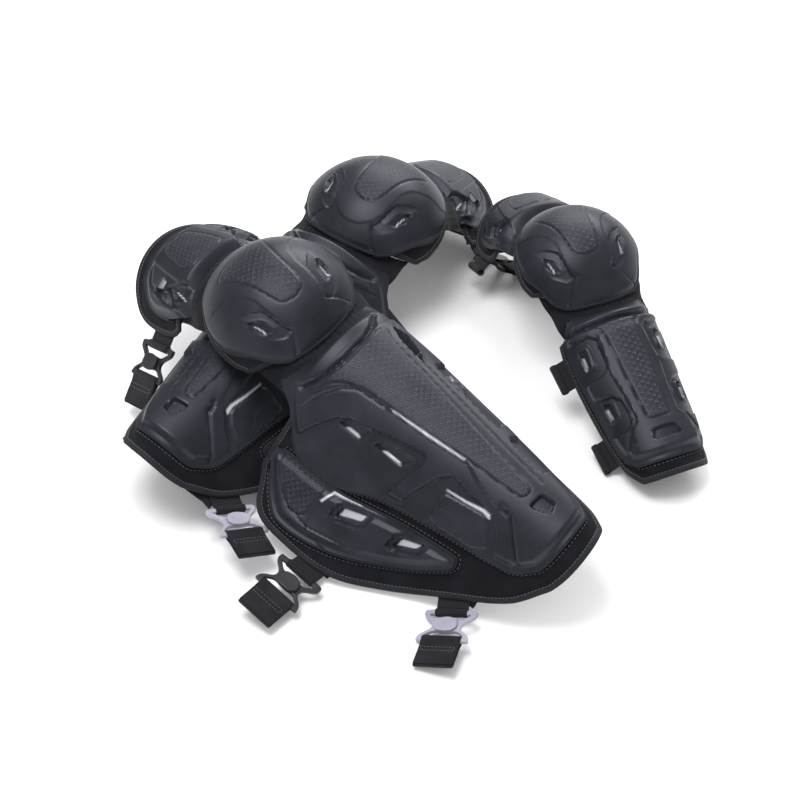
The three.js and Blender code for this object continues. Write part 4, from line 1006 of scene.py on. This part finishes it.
def backStrap(name, body, guard, section, at, matrix):
    # the slack strap across the open back, from the cloth's inner edge to its outer one, as the solid runs
    c = closure
    inner, outer, under = sewnPlace(section, at)
    inner, outer = inner + 2, outer - 2
    spot = lambda t, out: limbPlace(guard, section, np.array([at]), np.array([t]), np.array([out]))[0]
    a, b = spot(inner, under), spot(inner + c["backTuck"], under)
    end, d = spot(outer - c["backTuck"], under - c["backLap"]), spot(outer, under - c["backLap"])
    run = [lerp(b, end, i / 12) - np.array([0, 0, c["backSlack"] * math.sin(math.pi * i / 12)]) for i in range(1, 12)]
    path = spread(np.array([a, b, *run, end, d]), 3, False)
    addPiece(name + "_webbing_band", ribbon(path, c["backWidth"], c["backWall"]), "webbing", body, matrix,
             50, name)


def closureFrames(guard, section, spec, place):
    # the frames that the webbing, the hook and the strap end are built in, worked out as the solids are
    c = closure
    _, t, under = sewnPlace(section, spec["at"])
    step = c["gridStep"]

    def spot(s, t):
        row, column = math.floor(s / step) * step, math.floor(t / step) * step
        at = lambda a, b: limbPlace(guard, section, np.array([a]), np.array([b]), np.array([under]))[0]
        along, across = (s - row) / step, (t - column) / step
        here = lerp(at(row, column), at(row, column + step), across)
        return Vector(lerp(here, lerp(at(row + step, column), at(row + step, column + step), across), along))
    edge = spot(spec["at"], t + c["clear"])
    outwards = (edge - spot(spec["at"], t - c["tuck"])).normalized()
    half = c["width"] / 2
    alongEdge = (spot(spec["at"] + half, t - half) - spot(spec["at"] - half, t - half)) * section["way"]
    up = outwards.cross(alongEdge).normalized()
    sewn = Matrix((outwards, up.cross(outwards), up)).transposed().to_4x4()
    sewn.translation = edge
    sewn = sewn @ Matrix.Rotation(spec.get("turn", 0) * degree, 4, "Z")
    lifted = sewn @ Matrix.Rotation(-c["lift"] * degree, 4, "Y")
    level = (sectionTurn(place, spec["section"]).inverted() @ Vector((0, 0, 1))).normalized()
    level.x *= place["mirror"]
    along, outward = lifted.to_3x3().col[0], lifted.to_3x3().col[2]
    bend = math.atan2(along.dot(level), outward.dot(level)) + spec.get("drop", 0) * degree
    pivot = c["reach"] + c["bar"] + c["gap"] + c["wall"]
    return sewn, lifted @ Matrix.Translation((pivot, 0, 0)) @ Matrix.Rotation(bend, 4, "Y"), pivot


def loopPath(pivot, radius, lift, tuck):
    # side view of the webbing: flat under the cloth, bent up, round the bar and back
    start = [(-tuck, 0), (-tuck * 0.5, 0), (-1.5, 0), (-0.3, 0.1)]
    c, s = math.cos(lift), math.sin(lift)
    loop = [(pivot + radius * math.cos(a), radius * math.sin(a)) for a in np.linspace(-165, 165, 19) * degree]
    raised = [(1.2, 0), (pivot - radius - 1.5, -0.3)] + loop
    return start + [(x * c - z * s, x * s + z * c) for x, z in raised]


def sidePath(rows, step):
    return spread(np.array([(x, 0, z) for x, z in rows]), step, False)


def plate(name, loops, thickness, rounding, z=0.0):
    # a flat moulded part with rounded edges, from its outline and holes
    curve = bpy.data.curves.new(name, "CURVE")
    curve.dimensions, curve.fill_mode = "2D", "BOTH"
    curve.extrude, curve.bevel_depth, curve.bevel_resolution = thickness / 2 - rounding, rounding, 3
    curve.offset = -rounding
    for loop in loops:
        spline = curve.splines.new("POLY")
        spline.points.add(len(loop) - 1)
        for point, (x, y) in zip(spline.points, loop):
            point.co = (x, y, z, 1)
        spline.use_cyclic_u = True
    helper = bpy.data.objects.new(name, curve)
    bpy.context.scene.collection.objects.link(helper)
    mesh = bpy.data.meshes.new_from_object(helper.evaluated_get(bpy.context.evaluated_depsgraph_get()))
    bpy.data.objects.remove(helper)
    points = np.array([v.co for v in mesh.vertices]) + np.array([0, 0, z])
    faces = [tuple(p.vertices) for p in mesh.polygons]
    bpy.data.meshes.remove(mesh)
    return points, faces


def hookParts():
    # hook frame: a wire bar in the webbing loop, two arms drawn in to a shield, and the bar of the strap end
    c = closure
    half = (c["strapWidth"] + c["armWidth"] * 2 + 0.6) / 2
    waist, tail = c["waist"], c["hookLength"]
    outer = [(-2.6, half - 1), (1.5, half), (6, half - 1), (13, waist + 4), (20, waist + 3), (27, half - 2),
             (tail + 1.5, half), (tail + 2.6, half - 2)]
    near = [(2.6, half - 5.5), (4.5, half - 6), (10.5, waist + 1), (9.5, 0)]
    far = [(tail - 2.6, half - 6), (tail - 4.5, half - 7), (22.5, waist + 1), (24, 0)]
    loops = [rounded(mirrored(outer), 2, 0.22), rounded(mirrored(near), 2, 0.2), rounded(mirrored(far), 2, 0.2)]
    shield = [(8, 0), (10.5, -waist + 1), (19, -waist - 1), (24, -waist + 3), (25, 0), (24, waist - 3),
              (19, waist + 1), (10.5, waist - 1)]
    parts = [plate("hookOutline", loops, c["armPlate"], c["rounding"]),
             plate("hookShield", [rounded(shield, 2, 0.2)], c["shieldPlate"], c["rounding"], c["shieldLift"])]
    for x in (0, tail):
        line = np.array([(x, y, 0) for y in np.linspace(-half + 3, half - 3, 9)])
        parts.append(tube(line, np.tile([0.0, 0, 1], (9, 1)), c["bar"], c["bar"], 14, closed=False)[:2])
    points, faces, start = [], [], 0
    for p, f in parts:
        points.append(p)
        faces += [tuple(k + start for k in face) for face in f]
        start += len(p)
    return np.vstack(points), faces, {}


def closurePieces(prefix, spec, home, guard, section, place, matrix):
    c = closure
    name = f"{prefix}_{spec['name']}"
    sewn, hung, pivot = closureFrames(guard, section, spec, place)
    radius = c["bar"] + c["gap"] + c["wall"] / 2
    path = sidePath(loopPath(pivot, radius, c["lift"] * degree, c["tuck"] + c["clear"]), 1.3)
    addPiece(name + "_ribbed_webbing", ribbon(path, c["width"], c["wall"]), "webbing", home, matrix @ sewn,
             50, name + "_webbing")
    if not spec.get("hook"):
        return
    body, light, matrix = name + "_hook", spec["hook"] == "light", matrix @ hung
    addPiece(name + "_hook_frame", hookParts(), "hookLight" if light else "hookDark",
             body, matrix, 40, name + "_hook")
    # the strap end goes round the far bar and is folded on itself, sewn across
    bar, end = c["hookLength"], c["hookLength"] + c["tabLength"]
    fold, half = bar + c["foldFrom"], c["foldHalf"]
    lead = [(bar + radius * math.cos(a), radius * math.sin(a)) for a in np.linspace(50, 310, 17) * degree]
    rows = [(end - 1, half), (fold, half), *lead, (fold, -half), (end - 1, -half), (end, -0.8), (end, 0.8)]
    addPiece(name + "_folded_end", ribbon(sidePath(rows, 1.5), c["strapWidth"], c["wall"]), "tab", body, matrix,
             50, name + "_strap_end")
    seam = np.array([(bar + x, y) for x, way in ((10, 1), (14, -1)) for y in np.linspace(-16, 16, 9) * way])
    surface = lambda flat, out: np.column_stack([flat, 2.3 + np.zeros(len(flat)) + out])
    addPiece(name + "_end_stitches", stitchRow(seam, surface, 3.4, 2.2, 0.36, 0.05), "thread", body, matrix)


# Stretch cloth between cup and section: from is degrees round the cup, into mm past the start of the section's
# cloth, fold and fineFold a height in m and its turns
gathers = {"rows": 26, "columns": 70, "from": 56, "into": 6, "inset": 1.2, "widthShare": 0.92, "reachShare": 0.8,
           "under": (1.0, 3.6), "thickness": 0.0012, "fold": (0.0011, 17), "fineFold": (0.0004, 60), "length": 40}


def gaiter(name, guard, section, matrices):
    g = gathers
    near, far = g["from"] * degree * bandRadius(guard), section["cloth"][0] + g["into"]
    radius = bandRadius(guard) - g["inset"]
    width = guard["cupSide"] * degree * radius * g["widthShare"]
    u, v = np.meshgrid(np.linspace(0, 1, g["rows"]), np.linspace(-1, 1, g["columns"]), indexing="ij")
    reach = min(section["cloth"][2] * g["reachShare"], width)
    start = ballPlace(radius, np.full(u.shape, near), v * width, -g["under"][0]) * np.array([1, section["way"], 1])
    end = limbPlace(guard, section, np.full(u.shape, far), v * reach, -g["under"][1])
    start, end = (place @ m[:3, :3].T + m[:3, 3] for place, m in zip((start, end), map(np.array, matrices)))
    points = lerp(start, end, smooth(u)[..., None])
    normal = unit(np.cross(np.gradient(points, axis=0), np.gradient(points, axis=1)), 1e-12)
    (fold, turns), (fine, fineTurns) = g["fold"], g["fineFold"]
    folds = fold * np.sin(u * turns + 0.9 * np.sin(v * 9)) * np.sin(math.pi * u) + fine * np.sin(v * fineTurns)
    points = points + normal * folds[..., None]
    top, bottom = points.reshape(-1, 3), (points - normal * g["thickness"]).reshape(-1, 3)
    cells = [tuple(cell) for cell in gridCells(g["rows"], g["columns"])]
    pattern = twoSided(np.column_stack([(u * g["length"]).ravel(), (v * width).ravel()]))
    piece = addPiece(name, (*thicken(top, cells, top, bottom), pattern), "band", None, None, 70)
    down, along = points[1:, :-1] - points[:-1, :-1], points[:-1, 1:] - points[:-1, :-1]
    area = float(np.linalg.norm(np.cross(down, along), axis=-1).sum())
    wide = 2 * width * mm
    area / wide
    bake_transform(piece)


cupFace = {"rim": 2.6, "rise": 1.3, "lip": 2, "slope": 6, "wall": 2.9}  # mm


def cupPieces(prefix, part, guard, body, matrix):
    # the domed cup over the joint
    radius = guard["cupRadius"] - layers["shellWall"]
    start, end = -guard["cupBack"] * degree * radius, guard["cupFront"] * degree * radius
    outline = tableLoop(outlines["cup"], start, end, guard["cupSide"] * degree * radius, 2, crown=3)
    surface = lambda flat, out: cupPlace(guard, radius, flat[:, 0], flat[:, 1], out)
    c = cupFace
    base = lambda flat, edge: c["rim"] + c["rise"] * smooth((edge - c["lip"]) / c["slope"])
    look = scaled(cupLook, guard["cupRadius"] / kneeGuard["cupRadius"])
    shellPiece(f"{prefix}_cup_moulding", f"{prefix}_{part}_cup", body, look, outline, surface, base, matrix, cupBead,
               c["wall"])


def bandPieces(prefix, part, guard, body, matrix):
    # cloth band under the rim of the cup: open in the middle, bound round its outer edge, sewn to the cup
    radius = bandRadius(guard)
    margin = guard["bandMargin"]
    start = -guard["cupBack"] * degree * radius - margin
    end = (guard["chinStart"] + guard["chinOverBand"]) * degree * radius
    reach = guard["cupSide"] * degree * radius + margin
    outline = tableLoop(outlines["band"], start, end, reach)
    hole = rounded([(lerp(start, end, u), v * reach) for u, v in ((.3, .6), (.3, -.6), (.8, -.55), (.8, .55))], 3)
    c, surface = bandCloth, ballSurface(radius)
    flat, faces = cutSheet(outline, [hole], c["step"])
    wave, seam = ripples(flat, toLoop(flat, outline)[0], c)
    top = layers["fabric"] - c["topDrop"] + wave * c["waveOnTop"] - seam
    made = sheetBetween(flat, faces, surface, top, c["lift"] + wave * c["waveBelow"])
    piece = addPiece(f"{prefix}_cup_band", made, "band", body, matrix, 60, f"{prefix}_{part}_band")
    bound = edgePieces(f"{prefix}_band", body, outline, surface, matrix, edging["band"])
    flatSize, area = sheetSize(surface, outline, hole)
    # the foam pad under the cup
    inner = guard["cupRadius"] - layers["shellWall"] - layers["seatGap"]
    half, width = guard["padHalfArc"] * degree * inner, guard["padHalfWidth"]
    lines = [[(at, -width), (at, width)] for at in (-half / 3, half / 3)]
    padPiece(f"{prefix}_cup_foam", f"{prefix}_{part}_pad", body, tableLoop(outlines["pad"], -half, half, width),
             ballSurface(inner), matrix, -0.2, layers["padThickness"] + layers["cupPadExtra"], lines)


# Where each closure sits on its section, which plastic its hook has, and how far the frame drops at rest
straps = {
    "knee": [{"name": "thigh", "section": "upper", "at": 112}, {"name": "calf", "section": "lower", "at": 178},
             {"name": "ankle", "section": "lower", "at": 300, "turn": 37}],
    "elbow": [{"name": "upper", "section": "upper", "at": 106}, {"name": "forearm", "section": "lower", "at": 100},
              {"name": "wrist", "section": "lower", "at": 190}],
}
hooks = {("right", "thigh"): {"hook": "dark", "drop": 45}, ("right", "calf"): {"hook": "dark"},
         ("right", "ankle"): {"hook": "light"}, ("left", "thigh"): {"hook": "dark"},
         ("left", "calf"): {"hook": "light"}, ("left", "ankle"): {"hook": "light", "at": 342}}


def makeGuard(prefix):
    place = places[prefix]
    guard, parts = place["guard"], place["guard"]["parts"]
    bodies = {section: f"{prefix}_{part}" for section, part in parts.items()}
    matrices = {section: sectionMatrix(place, section) for section in parts}
    for section in ("upper", "lower"):
        s, body, matrix = guard[section], bodies[section], matrices[section]
        surface = limbSurface(guard, s)
        outline = tableLoop(outlines[s["tables"]["plate"]], collarRadius(guard) * layers["collarStartShare"],
                            s["plateEnd"] - 2, s["plateReach"], 5)
        shellPiece(body + "_moulding", body + "_shell", body, looks[parts[section]], outline, surface,
                   limbBase(guard, s), matrix, limbBead)
        clothPiece(body + "_cloth", body + "_carrier", body, guard, s, matrix)
        start, end, reach = s["pad"]
        rows = np.arange(start + padding["channelFrom"], end - padding["channelTo"], padding["channelPitch"])
        lines = [[(at, -reach), (at, reach)] for at in rows] + [[(start, 0), (end, 0)]]
        padPiece(body + "_foam", body + "_pad", body, tableLoop(outlines[s["tables"]["pad"]], start, end, reach),
                 surface, matrix, -layers["seatGap"] * 2 - layers["fabric"], layers["padThickness"], lines)
    if "wing" in guard:
        start, end, reach = guard["wing"]
        shellPiece(f"{prefix}_wing_moulding", f"{prefix}_wing_shell", bodies["lower"], wingLook,
                   tableLoop(outlines["wing"], start, end, reach, 3, (1, 1), 2), limbSurface(guard, guard["lower"]),
                   lambda flat, edge: plateFace(edge), matrices["lower"], limbBead)
    cupPieces(prefix, parts["middle"], guard, bodies["middle"], matrices["middle"])
    bandPieces(prefix, parts["middle"], guard, bodies["middle"], matrices["middle"])
    for spec in straps[parts["middle"]]:
        spec = {**spec, **hooks.get((prefix, spec["name"]), {})}
        section, home, matrix = guard[spec["section"]], bodies[spec["section"]], matrices[spec["section"]]
        backStrap(f"{prefix}_{spec['name']}_strap", home, guard, section, spec["at"], matrix)
        closurePieces(prefix, spec, home, guard, section, place, matrix)
    for section in ("upper", "lower"):
        gaiter(f"{prefix}_{section}_gaiter", guard, guard[section],
               (matrices["middle"], matrices[section]))
    print(prefix, "guard ready")


for prefix in places:
    makeGuard(prefix)


# Floor, light and camera; places are in m from the point that the camera looks at
studio = {"world": 0.86, "domeFrom": 0.15, "domeLow": 0.1, "domeHigh": 0.42, "floor": (0.94, 0.94, 0.95),
          "floorHalf": 6}
lamps = {"key": {"at": (-0.35, -0.1, 1.7), "size": (0.8, 0.8), "power": 21},
         "back": {"at": (0.5, 1.6, 1.0), "size": (1.4, 0.5), "power": 26}}
camera = {"elevation": 45, "distance": 2.0, "focal": 94.5, "leftAt": (-27, 216, 75), "lookAt": (0, 0, 55)}
target = Vector(jointAt["left_knee_hinge"]) + (Vector(camera["lookAt"]) - Vector(camera["leftAt"])) * mm
eye = bpy.data.cameras.new("camera")
eye.lens, eye.sensor_width, eye.clip_end = camera["focal"], 36, 20
eyeObject = bpy.data.objects.new("camera", eye)
rise = camera["elevation"] * degree
eyeObject.location = target + Vector((0, -math.cos(rise), math.sin(rise))) * camera["distance"]
eyeObject.rotation_euler = (math.pi / 2 - rise, 0, 0)
bpy.context.scene.collection.objects.link(eyeObject)
bpy.context.scene.camera = eyeObject

half = studio["floorHalf"]
floorMesh = bpy.data.meshes.new("floor")
floorMesh.from_pydata([(-half, -half, 0), (half, -half, 0), (half, half, 0), (-half, half, 0)], [], [(0, 1, 2, 3)])
floor = bpy.data.objects.new("floor", floorMesh)
bpy.context.scene.collection.objects.link(floor)
paper = Finish("floor_paper", Roughness=0.9)
paper.set("Base Color", studio["floor"])
floorMesh.materials.append(paper.material)

for name, spec in lamps.items():
    lamp = bpy.data.lights.new(name, "AREA")
    lamp.shape, (lamp.size, lamp.size_y), lamp.energy = "RECTANGLE", spec["size"], spec["power"]
    box = bpy.data.objects.new(name, lamp)
    box.location = target + Vector(spec["at"])
    box.rotation_euler = (target - box.location).to_track_quat("-Z", "Y").to_euler()
    bpy.context.scene.collection.objects.link(box)

# A white background for the camera; reflections see a plain sky that is brighter overhead
world = bpy.data.worlds.new("studio")
world.use_nodes = True
sky = Nodes(world.node_tree)
overhead = sky.add("ShaderNodeSeparateXYZ", {}, {0: sky.add("ShaderNodeTexCoord")}, 2)
dome = sky.add("ShaderNodeMapRange", {}, {"Value": overhead, "From Min": studio["domeFrom"], "From Max": 1.0,
                                          "To Min": studio["domeLow"], "To Max": studio["domeHigh"]})
glossyRay, cameraRay = (sky.add("ShaderNodeLightPath", output=kind) for kind in ("Is Glossy Ray", "Is Camera Ray"))
light = sky.add("ShaderNodeMix", {}, {0: glossyRay, 2: studio["world"], 3: dome})
sky.put(world.node_tree.nodes["Background"],
        {"Color": (1, 1, 1), "Strength": sky.add("ShaderNodeMix", {}, {0: cameraRay, 2: light, 3: 1.0})})
bpy.context.scene.world = world
bpy.context.scene.view_settings.view_transform = "Standard"
print("studio ready")
